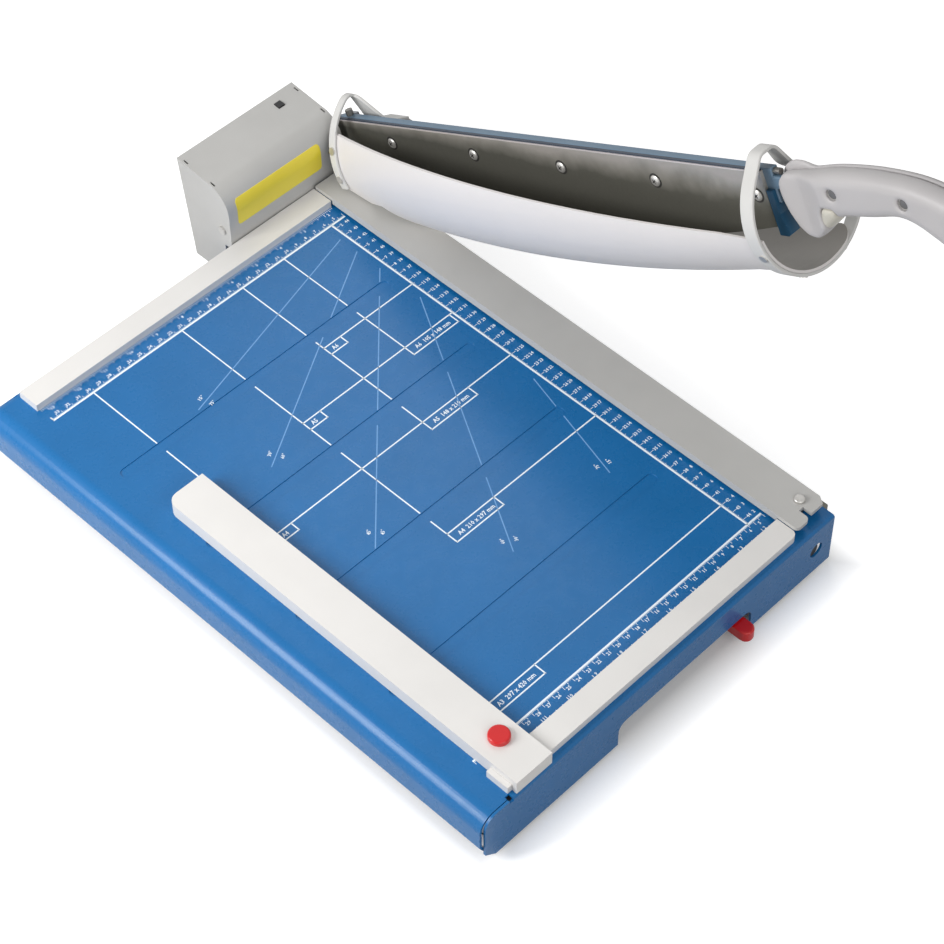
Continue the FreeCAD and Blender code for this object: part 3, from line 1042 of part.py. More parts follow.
def guard_strap(label, seat, leave, end, rear, width, leg_width):
    """A strap over the shell's end that rises to a corner and comes down to a hub on the axis."""
    inner = "%s + strap_seat_gap" % seat
    outer = "%s + strap_wall" % inner
    hub_inner = "strap_hub_radius - strap_leg_wall"
    corner_out = meeting(outer, leave, "strap_hub_radius", "strap_leg_angle")
    corner_in = meeting(inner, leave, hub_inner, "strap_leg_angle")
    foot_out = polar("strap_hub_radius", "strap_leg_angle")
    foot_in = polar(hub_inner, "strap_leg_angle")
    hoop = plate(label + "_hoop", "xz", [
        polar(outer, end) + (outer,),
        polar(outer, leave),
        corner_out,
        foot_out,
        foot_in,
        corner_in,
        polar(inner, leave) + ("- ( %s )" % inner,),
        polar(inner, end),
    ], rear, width)
    hoop = filleted(label + "_hoop_rounded", hoop, "strap_corner",
                    lambda e: along(e, Vector(0, 1, 0))
                    and near(e, x=worked_out(corner_out[0]), z=worked_out(corner_out[1])))
    leg = plate(label + "_leg", "xz", [
        part_way(corner_out, foot_out),
        foot_out,
        foot_in,
        part_way(corner_in, foot_in),
    ], rear, leg_width)
    hub = rod(label + "_hub", "y", "guard_axis_out", "- ( %s ) - ( %s )" % (rear, leg_width),
              "- guard_axis_down", "strap_hub_radius", leg_width)
    return cut(label + "_strap", fused(label + "_strap_whole", hoop, leg, hub),
               rod(label + "_strap_bore", "y", "guard_axis_out",
                   "- ( %s ) - ( %s )" % (rear, leg_width), "- guard_axis_down",
                   "hub_pin_radius + running_gap", leg_width))


SHELL_SWELL_END = "- bar_front_reach + shell_swell_end_back"
SHELL_SEAT = "- bar_front_reach + shell_seat_back"
SHELL_FRONT = "- bar_front_reach + shell_front_back"
shell_body = doc.addObject("PartDesign::Body", "shell_body")
shell_sketch = outline(shell_body, "shell_profile", "yz", [
    ("- shell_rear", "shell_rear_radius"),
    ("- shell_swell_start", "shell_rear_radius", "- shell_swell_bow"),
    (SHELL_SWELL_END, "shell_swell_end_radius"),
    (SHELL_SEAT, "shell_front_radius"),
    (SHELL_FRONT, "shell_front_radius"),
    (SHELL_FRONT, "shell_front_radius - shell_wall"),
    (SHELL_SEAT, "shell_front_radius - shell_wall"),
    (SHELL_SWELL_END, "shell_swell_end_radius - shell_wall", "shell_swell_bow - shell_wall"),
    ("- shell_swell_start", "shell_rear_radius - shell_wall"),
    ("- shell_rear", "shell_rear_radius - shell_wall"),
])
barrel = shell_body.newObject("PartDesign::Revolution", "shell_barrel")
barrel.Profile = shell_sketch
barrel.ReferenceAxis = (shell_sketch, ["H_Axis"])
barrel.Angle = 360
place(shell_body, "guard_axis_out", "0", "- guard_axis_down")
REAR_TRIM = "rear_trim_up - rear_trim_slope * "
side_view = plate("shell_side_view", "yz", [
    ("- shell_rear + 5", "near_edge_rear"),
    (SHELL_FRONT + " - 5", "near_edge_front"),
    (SHELL_FRONT + " - 5", "-100"),
    ("- ( rear_trim_up + 100 ) / rear_trim_slope", "-100"),
    ("- shell_rear + 5", REAR_TRIM + "( shell_rear - 5 )"),
], "-100", "100 + guard_axis_out + shell_right_from_axis")
sweep_room = plate("shell_sweep_room", "xy", [
    ("sweep_trim_out - sweep_trim_slope * ( sweep_trim_reach - 40 )", "-40"),
    ("sweep_trim_out + sweep_trim_slope * ( 280 - sweep_trim_reach )", "-280"),
    ("100", "-280"),
    ("100", "-40"),
], "-100", "100 - sweep_trim_down")
corner_x = "guard_axis_out + shell_right_from_axis - shell_corner"
corner_y = SHELL_FRONT + " + shell_corner"
corner_room = cut("shell_corner_room",
                  block("shell_corner_block", corner_x, SHELL_FRONT + " - 1", "-100",
                        "shell_corner + 1", "shell_corner + 1", "200"),
                  rod("shell_corner_rod", "z", corner_x, corner_y, "-100", "shell_corner", "200"))
RING_SCREWS = [("shell_front_radius", FRONT_STRAP_REAR + " + front_strap_width / 2", angle)
               for angle in (200, 245, 290)]
RING_SCREWS += [("shell_rear_radius", "rear_strap_rear + rear_strap_width / 2 + 1 / 2", angle)
                for angle in (160, 183)]


def ring_screw(name, seat, reach, angle, gap):
    """A short screw from outside a strap, through strap and shell, towards the axis."""
    top = worked_out(seat) + size("strap_seat_gap") + size("strap_wall")
    low = worked_out(seat) - size("shell_wall")
    outward = Vector(math.cos(math.radians(angle)), 0, math.sin(math.radians(angle)))
    axis = Vector(size("guard_axis_out"), -worked_out(reach), -size("guard_axis_down"))
    radius = size("ring_screw_radius") + gap
    shank = Part.makeCylinder(radius, top - low, axis + outward * low, outward)
    head = Part.makeCylinder(size("ring_screw_head"), size("ring_screw_rise"),
                             axis + outward * (top - size("ring_screw_sink")), outward)
    return feature(name, shank.fuse(head) if gap == 0 else shank)


screw_bores = [ring_screw("ring_bore_%d" % n, *spot, size("screw_clearance"))
               for n, spot in enumerate(RING_SCREWS)]
shell = cut("shell_cut", common("shell_trimmed", shell_body, side_view), sweep_room, corner_room,
            *screw_bores)
keep(shell, "guard_shell", "arm")
front_strap = guard_strap("front", "shell_front_radius", "front_leave_angle", "front_end_angle",
                          FRONT_STRAP_REAR, "front_strap_width", "front_strap_width")
rear_strap = guard_strap("rear", "shell_rear_radius", "rear_leave_angle", "rear_end_angle",
                         "rear_strap_rear", "rear_strap_width", "rear_leg_width")
ring_screws = [ring_screw("ring_screw_%d" % n, *spot, 0) for n, spot in enumerate(RING_SCREWS)]
head_room = fused("ring_screw_room", *ring_screws)
keep(cut("front_strap_cut", front_strap, head_room), "front_ring", "arm")
keep(cut("rear_strap_cut", rear_strap, head_room), "rear_ring", "arm")
keep(grouped("ring_screw_group", *ring_screws), "ring_screws", "arm")

# ---- the whole machine ----

doc.recompute()
arm_tilt = Placement(Vector(0, size("pivot_back"), size("pivot_up")),
                     Rotation(Vector(1, 0, 0), -size("arm_rest_angle")))
for thing, frame in finished:
    if frame == "arm":
        thing.Placement = arm_tilt.multiply(thing.Placement)
machine = FreeCAD.BoundBox()
for thing, frame in finished:
    for corner in thing.Shape.tessellate(size("curve_step"))[0]:
        machine.add(corner)
to_origin = Placement(Vector(-machine.Center.x, -machine.Center.y, size("table_height")),
                      Rotation())
for thing, frame in finished:
    thing.Placement = to_origin.multiply(thing.Placement)

for thing in doc.Objects:
    if "Invalid" in thing.State or "Error" in thing.State:
        raise RuntimeError("%s could not be built: %s" % (thing.Name, thing.State))
for thing, frame in finished:
    if thing.Shape.isNull() or not thing.Shape.isValid():
        raise RuntimeError("%s has no valid shape" % thing.Label)
os.makedirs("parts", exist_ok=True)
for thing, frame in finished:
    thing.Shape.exportStep(os.path.join("parts", thing.Label + ".step"))
print("%d pieces, origin moved by %s" % (len(finished), to_origin.Base))
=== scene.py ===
"""Looks of a desk lever trimmer round its CAD frame: finishes, the printed table, studio and camera."""

from __future__ import annotations

import json
import logging
import math
from dataclasses import dataclass, field
from enum import Enum

import bmesh
import bpy
from mathutils import Matrix, Vector

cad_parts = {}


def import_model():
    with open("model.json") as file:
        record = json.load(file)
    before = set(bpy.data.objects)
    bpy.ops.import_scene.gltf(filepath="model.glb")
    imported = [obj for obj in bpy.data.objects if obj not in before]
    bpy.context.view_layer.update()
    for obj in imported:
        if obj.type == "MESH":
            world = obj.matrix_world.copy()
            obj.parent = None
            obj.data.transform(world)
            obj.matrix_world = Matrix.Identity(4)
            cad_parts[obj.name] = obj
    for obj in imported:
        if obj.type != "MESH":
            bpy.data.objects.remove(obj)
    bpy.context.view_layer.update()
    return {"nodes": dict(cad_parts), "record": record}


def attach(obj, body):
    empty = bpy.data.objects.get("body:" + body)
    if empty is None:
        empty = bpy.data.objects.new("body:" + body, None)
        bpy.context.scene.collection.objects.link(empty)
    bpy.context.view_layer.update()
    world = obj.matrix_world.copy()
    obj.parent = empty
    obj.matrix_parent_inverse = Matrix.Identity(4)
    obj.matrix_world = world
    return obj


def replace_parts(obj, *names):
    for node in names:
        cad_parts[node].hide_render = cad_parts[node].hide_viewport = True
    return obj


LOG = logging.getLogger("trimmer")
MM = 0.001

# Two corners of a mesh nearer than this are one, in metres; edges turning more than this stay sharp.
SAME_PLACE = 1e-6
SHARP_EDGE = math.radians(32)

# The drawing frame of the machine: x = 0 is the cutting plane, y = 0 the back stop's front face and
# z = 0 the table's top. ORIGIN is where that point lies in the row frame.
ORIGIN = Vector((153.5, 251.610, 53.0)) * MM

# The arm's frame: reach runs along the arm from the middle of its hinge pin, up is square to it and
# across is the machine's X. The guard turns about a line along the reach, at GUARD_AXIS (across, up).
ARM_PIN = Vector((0.0, 50.0, 10.0))
ARM_REACH = Vector((0.0, -0.88377, 0.46793))
ARM_UP = Vector((0.0, 0.46793, 0.88377))
GUARD_AXIS = (30.0, -9.5)


def linear(colour: str) -> tuple[float, float, float, float]:
    """Turns a colour written as sRGB hex into the linear values that shaders take.

    Args:
        colour: the colour, such as "#1c63a0".

    Returns:
        Red, green, blue and an alpha of one.
    """
    values = [int(colour[i : i + 2], 16) / 255 for i in (1, 3, 5)]
    red, green, blue = (v / 12.92 if v <= 0.04045 else ((v + 0.055) / 1.055) ** 2.4 for v in values)
    return red, green, blue, 1.0


def on_machine(x: float, y: float, z: float) -> Vector:
    """Turns a place in the machine's drawing frame, in millimetres, into the row frame."""
    return Vector((x, y, z)) * MM + ORIGIN


def on_arm(reach: float, across: float, up: float) -> Vector:
    """Turns a place in the arm's frame, in millimetres, into the row frame."""
    return (ARM_PIN + ARM_REACH * reach + ARM_UP * up + Vector((across, 0.0, 0.0))) * MM + ORIGIN


def round_places(radius: float, flats: int) -> list[tuple[float, float]]:
    """Gives places evenly round the origin, one for each flat."""
    turns = [2 * math.pi * i / flats for i in range(flats)]
    return [(radius * math.cos(turn), radius * math.sin(turn)) for turn in turns]


def skin(work: bmesh.types.BMesh, rings: list[list[Vector]], looped: bool = False) -> None:
    """Stretches faces from each ring of places to the next.

    Args:
        work: the mesh that takes the faces.
        rings: the rings, all with the same number of places, in the row frame.
        looped: whether the last ring meets the first; if not, a face closes either end.
    """
    verts = [[work.verts.new(place) for place in ring] for ring in rings]
    for first, second in zip(verts, verts[1:] + verts[:1] if looped else verts[1:]):
        for i in range(len(first)):
            j = (i + 1) % len(first)
            work.faces.new((first[i], first[j], second[j], second[i]))
    if not looped:
        work.faces.new(verts[0][::-1])
        work.faces.new(verts[-1])


def link_object(name: str, data: bpy.types.ID) -> bpy.types.Object:
    """Makes an object of its data and hangs it in the scene.

    Args:
        name: the object's name.
        data: its mesh, curve, lamp or camera.

    Returns:
        The object.
    """
    thing = bpy.data.objects.new(name, data)
    bpy.context.scene.collection.objects.link(thing)
    return thing


def closed_mesh(name: str, work: bmesh.types.BMesh) -> bpy.types.Mesh:
    """Makes a mesh of closed shapes, with every face pointing outwards.

    Args:
        name: the mesh's name.
        work: its faces, which are used up.

    Returns:
        The mesh.
    """
    bmesh.ops.recalc_face_normals(work, faces=work.faces)
    data = bpy.data.meshes.new(name)
    work.to_mesh(data)
    work.free()
    return data


def merged_copy(node: bpy.types.Object) -> bmesh.types.BMesh:
    """Gives a copy of a CAD node's faces with their corners joined, and leaves the node alone.

    Args:
        node: the CAD node.

    Returns:
        Its faces, in the row frame.
    """
    work = bmesh.new()
    work.from_mesh(node.data)
    work.transform(node.matrix_world)
    bmesh.ops.remove_doubles(work, verts=work.verts, dist=SAME_PLACE)
    return work


def shaped_mesh(thing: bpy.types.Object) -> bpy.types.Mesh:
    """Turns an object with its modifiers into a plain mesh, and removes the object.

    Args:
        thing: the object, which is used up.

    Returns:
        Its mesh, with the modifiers taken in.
    """
    bpy.context.view_layer.update()
    mesh = bpy.data.meshes.new_from_object(thing.evaluated_get(bpy.context.evaluated_depsgraph_get()))
    bpy.data.objects.remove(thing)
    return mesh


def ride_on(name: str, data: bpy.types.Mesh, body: str) -> bpy.types.Object:
    """Makes a piece of a finished mesh.

    Args:
        name: the piece's name.
        data: its mesh, with its material.
        body: the body that it rides on.

    Returns:
        The piece.
    """
    piece = link_object(name, data)
    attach(piece, body)
    return piece


def smooth_mesh(
    name: str, work: bmesh.types.BMesh, material: bpy.types.Material, sharp: float = SHARP_EDGE
) -> bpy.types.Mesh:
    """Makes a closed mesh, shaded smooth but for its edges.

    Args:
        name: the mesh's name.
        work: its faces, which are used up.
        material: its finish.
        sharp: the turn past which an edge is sharp, in radians.

    Returns:
        The mesh.
    """
    data = closed_mesh(name, work)
    data.shade_smooth()
    data.set_sharp_from_angle(angle=sharp)
    data.materials.append(material)
    return data


def add_piece(
    name: str, work: bmesh.types.BMesh, material: bpy.types.Material, body: str
) -> bpy.types.Object:
    """Makes a piece of closed shapes, shaded smooth but for its edges.

    Args:
        name: the piece's name.
        work: its faces, which are used up.
        material: its finish.
        body: the body that it rides on.

    Returns:
        The piece.
    """
    return ride_on(name, smooth_mesh(name, work, material), body)


def per_mm(size: float) -> float:
    """Gives the texture scale whose features are about size millimetres across."""
    return 1 / (size * MM)


def add_node(
    tree: bpy.types.NodeTree,
    kind: str,
    settings: dict[str | int, object] | None = None,
    links: dict[str | int, bpy.types.NodeSocket] | None = None,
) -> bpy.types.Node:
    """Adds one node to a tree.

    Args:
        tree: the tree that takes the node.
        kind: the node's type, such as "ShaderNodeBump".
        settings: attributes by name, or input values by the input's name or number.
        links: for an input's name or number, the output that feeds it.

    Returns:
        The new node.
    """
    node = tree.nodes.new(kind)
    for key, value in (settings or {}).items():
        if isinstance(key, str) and hasattr(node, key):
            setattr(node, key, value)
        else:
            node.inputs[key].default_value = value
    for key, socket in (links or {}).items():
        tree.links.new(socket, node.inputs[key])
    return node


class Axis(Enum):
    """The way that a tool or a die has run over a surface."""

    ALL = (1.0, 1.0, 1.0)
    ROUND_Z = (1.0, 1.0, 0.03)


@dataclass(frozen=True)
class Finish:
    """A surface as the workshop leaves it.

    Sizes are in millimetres. The colour drifts to shade in soft patches, the gloss varies between the
    two roughness values, and the fine relief is grain_mm across and grain_depth high. MIDDLE is the part
    of a noise value that nearly all of it lies in, and FALL is how fast its finer detail fades.
    """

    MIDDLE = (0.3, 0.7)
    FALL = 0.55

    name: str
    colour: str
    shade: str
    rough: tuple[float, float]
    grain_mm: float
    grain_depth: float
    patch_mm: float = 45.0
    run: Axis = Axis.ALL

    def coordinates(self, tree: bpy.types.NodeTree) -> bpy.types.NodeSocket:
        """Gives the place on the part, stretched along the way the tool ran.

        Args:
            tree: the material's tree.

        Returns:
            The place.
        """
        place = add_node(tree, "ShaderNodeTexCoord").outputs["Object"]
        return add_node(tree, "ShaderNodeMapping", {"Scale": self.run.value}, {"Vector": place}).outputs[0]

    def noise(
        self, tree: bpy.types.NodeTree, place: bpy.types.NodeSocket, size: float, detail: float
    ) -> bpy.types.NodeSocket:
        """Gives a noise value.

        Args:
            tree: the material's tree.
            place: where the pattern is read.
            size: how far its features are across, in millimetres.
            detail: how many finer layers lie on them.

        Returns:
            The value.
        """
        settings = {"Scale": per_mm(size), "Detail": detail, "Roughness": self.FALL}
        return add_node(tree, "ShaderNodeTexNoise", settings, {"Vector": place}).outputs["Fac"]

    def spread(
        self, tree: bpy.types.NodeTree, value: bpy.types.NodeSocket, low: float, high: float
    ) -> bpy.types.NodeSocket:
        """Spreads the middle of a noise value over a range.

        Args:
            tree: the material's tree.
            value: the noise value.
            low: the range's low end.
            high: its high end.

        Returns:
            The value in that range.
        """
        settings = {"From Min": self.MIDDLE[0], "From Max": self.MIDDLE[1], "To Min": low, "To Max": high}
        return add_node(tree, "ShaderNodeMapRange", settings, {"Value": value}).outputs[0]

    def tint(
        self, tree: bpy.types.NodeTree, value: bpy.types.NodeSocket, first: str, second: str
    ) -> bpy.types.NodeSocket:
        """Blends two colours by a noise value.

        Args:
            tree: the material's tree.
            value: the noise value.
            first: the colour where it is low.
            second: the colour where it is high.

        Returns:
            The colour.
        """
        settings = {"data_type": "RGBA", 6: linear(first), 7: linear(second)}
        return add_node(tree, "ShaderNodeMix", settings, {0: self.spread(tree, value, 0.0, 1.0)}).outputs[2]

    def cover(self, tree: bpy.types.NodeTree, place: bpy.types.NodeSocket) -> bpy.types.NodeSocket:
        """Gives the colour at a place: the main colour, drifting to its shade."""
        return self.tint(tree, self.noise(tree, place, self.patch_mm, 2.0), self.colour, self.shade)

    def relief(self, tree: bpy.types.NodeTree, place: bpy.types.NodeSocket) -> bpy.types.NodeSocket:
        """Gives the height of the fine relief, from zero to one."""
        return self.noise(tree, place, self.grain_mm, 3.0)

    def dress(self, shader: bpy.types.Node) -> None:
        """Sets what is the same all over the surface on the shader's own sockets."""
        shader.inputs["IOR"].default_value = 1.5

    def make(self) -> bpy.types.Material:
        """Builds the material.

        Returns:
            The finished material.
        """
        material = bpy.data.materials.new(self.name)
        material.use_nodes = True
        tree = material.node_tree
        shader = tree.nodes["Principled BSDF"]
        place = self.coordinates(tree)
        relief = self.relief(tree, place)
        tree.links.new(self.cover(tree, place), shader.inputs["Base Color"])
        gloss = self.noise(tree, place, self.grain_mm * 4, 4.0)
        tree.links.new(self.spread(tree, gloss, *self.rough), shader.inputs["Roughness"])
        settings = {"Strength": 1.0, "Distance": self.grain_depth * MM}
        bump = add_node(tree, "ShaderNodeBump", settings, {"Height": relief})
        tree.links.new(bump.outputs["Normal"], shader.inputs["Normal"])
        self.dress(shader)
        return material


@dataclass(frozen=True)
class BakedPaint(Finish):
    """Powder paint baked on sheet steel: orange peel under a thin clear skin."""

    skin: float = 0.25
    gloss: float = 1.5
    shine: float = 0.5
    haze: float = 0.22

    def dress(self, shader: bpy.types.Node) -> None:
        """Adds the clear skin that gives the soft second reflection.

        Args:
            shader: the material's shader.
        """
        shader.inputs["IOR"].default_value = self.gloss
        shader.inputs["Specular IOR Level"].default_value = self.shine
        shader.inputs["Coat Weight"].default_value = self.skin
        shader.inputs["Coat Roughness"].default_value = self.haze


@dataclass(frozen=True)
class WorkedMetal(Finish):
    """Bare or plated metal with the marks of the tool that cut or drew it."""

    spin: float = 0.0
    metal: float = 1.0

    def dress(self, shader: bpy.types.Node) -> None:
        """Makes it metal as far as it is bare, with the highlight drawn out along the marks."""
        shader.inputs["Metallic"].default_value = self.metal
        shader.inputs["Anisotropic"].default_value = self.spin


@dataclass(frozen=True)
class MouldedPlastic(Finish):
    """Injection-moulded plastic with the spark-eroded grain of its mould."""

    skin: float = 0.0
    gloss: float = 1.46
    haze: float = 0.08

    def relief(self, tree: bpy.types.NodeTree, place: bpy.types.NodeSocket) -> bpy.types.NodeSocket:
        """Gives rounded pits, as the sparks leave them in the mould.

        Args:
            tree: the material's tree.
            place: where the pattern is read.

        Returns:
            The height, from zero to one.
        """
        settings = {"Scale": per_mm(self.grain_mm), "feature": "SMOOTH_F1"}
        return add_node(tree, "ShaderNodeTexVoronoi", settings, {"Vector": place}).outputs["Distance"]

    def dress(self, shader: bpy.types.Node) -> None:
        """Sets the plastic's own gloss.

        Args:
            shader: the material's shader.
        """
        shader.inputs["IOR"].default_value = self.gloss
        shader.inputs["Coat Weight"].default_value = self.skin
        shader.inputs["Coat Roughness"].default_value = self.haze


@dataclass(frozen=True)
class LinedShell(MouldedPlastic):
    """The guard's moulding, with painted shade on its hollow side, where faces look towards its axis.

    The border says how far towards the guard's axis a face looks, in metres: wholly painted shade at its first
    value, wholly outer colour at its second.
    """

    lining: str = "#8f8b85"
    border: tuple[float, float] = (-0.012, -0.004)

    def cover(self, tree: bpy.types.NodeTree, place: bpy.types.NodeSocket) -> bpy.types.NodeSocket:
        """Gives the outer colour where the surface faces away from the guard's axis, and the painted shade
        elsewhere.

        Args:
            tree: the material's tree.
            place: where the outer colour's pattern is read.

        Returns:
            The colour.
        """
        outer = super().cover(tree, place)
        given = add_node(tree, "ShaderNodeTexCoord").outputs
        settings = {"operation": "SUBTRACT", 1: tuple(on_arm(0.0, *GUARD_AXIS))}
        arm = add_node(tree, "ShaderNodeVectorMath", settings, {0: given["Object"]}).outputs[0]
        settings = {"operation": "PROJECT", 1: tuple(ARM_REACH)}
        along = add_node(tree, "ShaderNodeVectorMath", settings, {0: arm}).outputs[0]
        away = add_node(tree, "ShaderNodeVectorMath", {"operation": "SUBTRACT"}, {0: arm, 1: along}).outputs[0]
        links = {0: away, 1: given["Normal"]}
        facing = add_node(tree, "ShaderNodeVectorMath", {"operation": "DOT_PRODUCT"}, links).outputs["Value"]
        settings = {"From Min": self.border[0], "From Max": self.border[1]}
        share = add_node(tree, "ShaderNodeMapRange", settings, {"Value": facing}).outputs[0]
        settings = {"data_type": "RGBA", 6: linear(self.lining)}
        return add_node(tree, "ShaderNodeMix", settings, {0: share, 7: outer}).outputs[2]


@dataclass(frozen=True)
class GroundBlade(WorkedMetal):
    """Knife steel with painted reflection: a light band along its back, darker towards its edge.

    Lengths are in metres. The blade's back lies back over the arm's line, and the light band grows from
    its first depth to its second between the two ends. The stops say where along that depth the band
    ends, where the shade colour is reached and where the darkest colour begins; cloud is how far that wanders.
    """

    dark: str = "#6c6b63"
    back: float = 0.026
    ends: tuple[float, float] = (0.03, 0.5)
    depths: tuple[float, float] = (0.009, 0.026)
    stops: tuple[float, float, float] = (0.15, 0.55, 1.0)
    cloud: float = 0.25

    def cover(self, tree: bpy.types.NodeTree, place: bpy.types.NodeSocket) -> bpy.types.NodeSocket:
        """Gives the colour of the painted reflection by how far a place lies below the blade's back, with a
        cloudy border.

        Args:
            tree: the material's tree.
            place: where the clouds are read.

        Returns:
            The colour.
        """
        spot = add_node(tree, "ShaderNodeTexCoord").outputs["Object"]
        settings = {"operation": "SUBTRACT", 1: tuple(on_arm(0.0, 0.0, 0.0))}
        arm = add_node(tree, "ShaderNodeVectorMath", settings, {0: spot}).outputs[0]
        dots = [{"operation": "DOT_PRODUCT", 1: tuple(way)} for way in (ARM_UP, ARM_REACH)]
        up, reach = (add_node(tree, "ShaderNodeVectorMath", dot, {0: arm}).outputs["Value"] for dot in dots)
        settings = dict(zip(("From Min", "From Max", "To Min", "To Max"), self.ends + self.depths))
        deep = add_node(tree, "ShaderNodeMapRange", settings, {"Value": reach}).outputs[0]
        below = add_node(tree, "ShaderNodeMath", {"operation": "SUBTRACT", 0: self.back}, {1: up}).outputs[0]
        part = add_node(tree, "ShaderNodeMath", {"operation": "DIVIDE"}, {0: below, 1: deep}).outputs[0]
        cloud = self.spread(tree, self.noise(tree, place, self.patch_mm, 3.0), -self.cloud, self.cloud)
        level = add_node(tree, "ShaderNodeMath", {"operation": "ADD"}, {0: part, 1: cloud}).outputs[0]
        ramp = add_node(tree, "ShaderNodeValToRGB", links={"Fac": level})
        stops = ramp.color_ramp.elements
        stops[0].position, stops[0].color = self.stops[0], linear(self.colour)
        stops[1].position, stops[1].color = self.stops[2], linear(self.dark)
        stops.new(self.stops[1]).color = linear(self.shade)
        return ramp.outputs["Color"]


@dataclass(frozen=True)
class PolishedGlass(Finish):
    """Optical glass, ground and polished."""

    bend: float = 1.52

    def dress(self, shader: bpy.types.Node) -> None:
        """Lets the light through."""
        shader.inputs["IOR"].default_value = self.bend
        shader.inputs["Transmission Weight"].default_value = 1.0


# What each slot of the record is made of, and how its surface was made.
FINISHES: dict[str, Finish] = {
    # Semi-gloss enamel baked on the pressed table: deep blue with soft bands of light on its bends.
    "blue_paint": BakedPaint(
        "baked_enamel_blue", "#12629c", "#1566a2",
        (0.25, 0.31), 2.2, 0.012, skin=0.03, gloss=1.44, shine=0.38,
    ),
    # Satin powder paint on sheet covers: a quiet light grey with a faint peel.
    "grey_paint": BakedPaint("powder_coat_grey", "#b2b1ae", "#b7b6b3", (0.42, 0.52), 1.8, 0.010, skin=0.1),
    # Satin powder paint on the cast lever bar: blue-grey.
    "slate_paint": BakedPaint(
        "powder_coat_slate", "#5c7488", "#647c90", (0.38, 0.48), 1.8, 0.012, skin=0.1,
    ),
    # Moulded polystyrene shell: pale and satin outside, with painted shade on its hollow side.
    "guard_grey": LinedShell("moulded_styrene_pale", "#dad6d4", "#dcd8d6", (0.34, 0.42), 1.6, 0.006),
    # Moulded polyamide straps, a shade darker and glossier than the shell.
    "ring_grey": MouldedPlastic("moulded_nylon_pale", "#cccbc8", "#d1d0cd", (0.30, 0.38), 1.6, 0.006),
    # Extruded aluminium, etched and clear anodised: silver-grey with almost no grain to the eye.
    "silver_aluminium": WorkedMetal(
        "anodised_aluminium_matt", "#dddbd8", "#d9d7d4", (0.5, 0.56), 1.6, 0.006, metal=0.15,
    ),
    # Knife steel, ground across its length: brown-grey with a hazy shine, and painted reflection, light along
    # the back and dark below.
    "blade_steel": GroundBlade(
        "ground_knife_steel", "#bab4ad", "#97948c", (0.38, 0.5), 0.9, 0.010, 40.0, spin=0.4, metal=0.6,
    ),
    # Cold-rolled steel left as it comes, oiled.
    "bare_steel": WorkedMetal("rolled_steel_bare", "#96948f", "#85837f", (0.3, 0.42), 1.2, 0.006, 18.0),
    # Bright zinc plate with the faint cloudy bloom of passivation.
    "zinc_plate": WorkedMetal("zinc_plated_steel", "#adb0b4", "#9b9ea3", (0.28, 0.4), 1.4, 0.004, 9.0),
    # Turned and nickel-plated screws: small sharp glints.
    "screw_steel": WorkedMetal(
        "nickel_plated_screw", "#c6c4c0", "#bbb9b5", (0.3, 0.38), 0.8, 0.003, 6.0, metal=0.6,
    ),
    # Shrink sleeve on dry cells: glossy near-black film.
    "battery_steel": MouldedPlastic(
        "shrink_film_dark", "#2c3138", "#353b43", (0.16, 0.22), 3.0, 0.01, skin=0.5,
    ),
    # Moulded rubber feet: dead matt with a bloom of dust.
    "foot_rubber": MouldedPlastic("moulded_rubber_black", "#1d1d1d", "#272625", (0.75, 0.9), 1.5, 0.02),
    # Moulded ABS, polished mould: clear bright red.
    "red_plastic": MouldedPlastic(
        "moulded_abs_red", "#c20c10", "#c81014", (0.28, 0.34), 2.5, 0.004, skin=0.15,
    ),
    # Moulded acetal slider: blue, slightly waxy.
    "blue_plastic": MouldedPlastic(
        "moulded_acetal_blue", "#1b4560", "#20506e", (0.32, 0.4), 2.0, 0.006, skin=0.1,
    ),
    # Moulded ABS with a coarse matt grain.
    "black_plastic": MouldedPlastic("moulded_abs_black", "#1b1b1c", "#222223", (0.5, 0.62), 1.4, 0.015),
    # Moulded ABS grip: soft grey with fine grain.
    "grey_plastic": MouldedPlastic("moulded_abs_grey", "#b4b1b1", "#b9b6b6", (0.42, 0.5), 1.5, 0.010),
    # Moulded ABS insert, warmer in tone.
    "beige_plastic": MouldedPlastic("moulded_abs_cream", "#c4c0b4", "#cac6ba", (0.42, 0.5), 1.5, 0.010),
    # Cast vinyl film: flat yellow with a satin skin.
    "yellow_label": MouldedPlastic(
        "vinyl_film_yellow", "#ecd63a", "#efda40", (0.3, 0.38), 4.0, 0.006, skin=0.2,
    ),
    # Polished glass lens.
    "lens_glass": PolishedGlass("polished_glass", "#f4f6f6", "#f4f6f6", (0.02, 0.04), 6.0, 0.0005),
    # Turned brass: warm yellow with rings from the tool.
    "brass": WorkedMetal("turned_brass", "#b89a55", "#a98c4a", (0.24, 0.34), 0.8, 0.004, 6.0, Axis.ROUND_Z),
}

# Screen ink on the table: opaque white, a little matt, and a thin pale blue for the angle lines.
WHITE_INK = MouldedPlastic("screen_ink_white", "#e6eef5", "#eef4f9", (0.45, 0.55), 2.0, 0.002)
PALE_INK = MouldedPlastic("screen_ink_pale_blue", "#6f9fd2", "#7aa8d8", (0.45, 0.55), 2.0, 0.002)


class Ink(Enum):
    """The two inks of the table's print."""

    WHITE = "white"
    PALE = "pale"


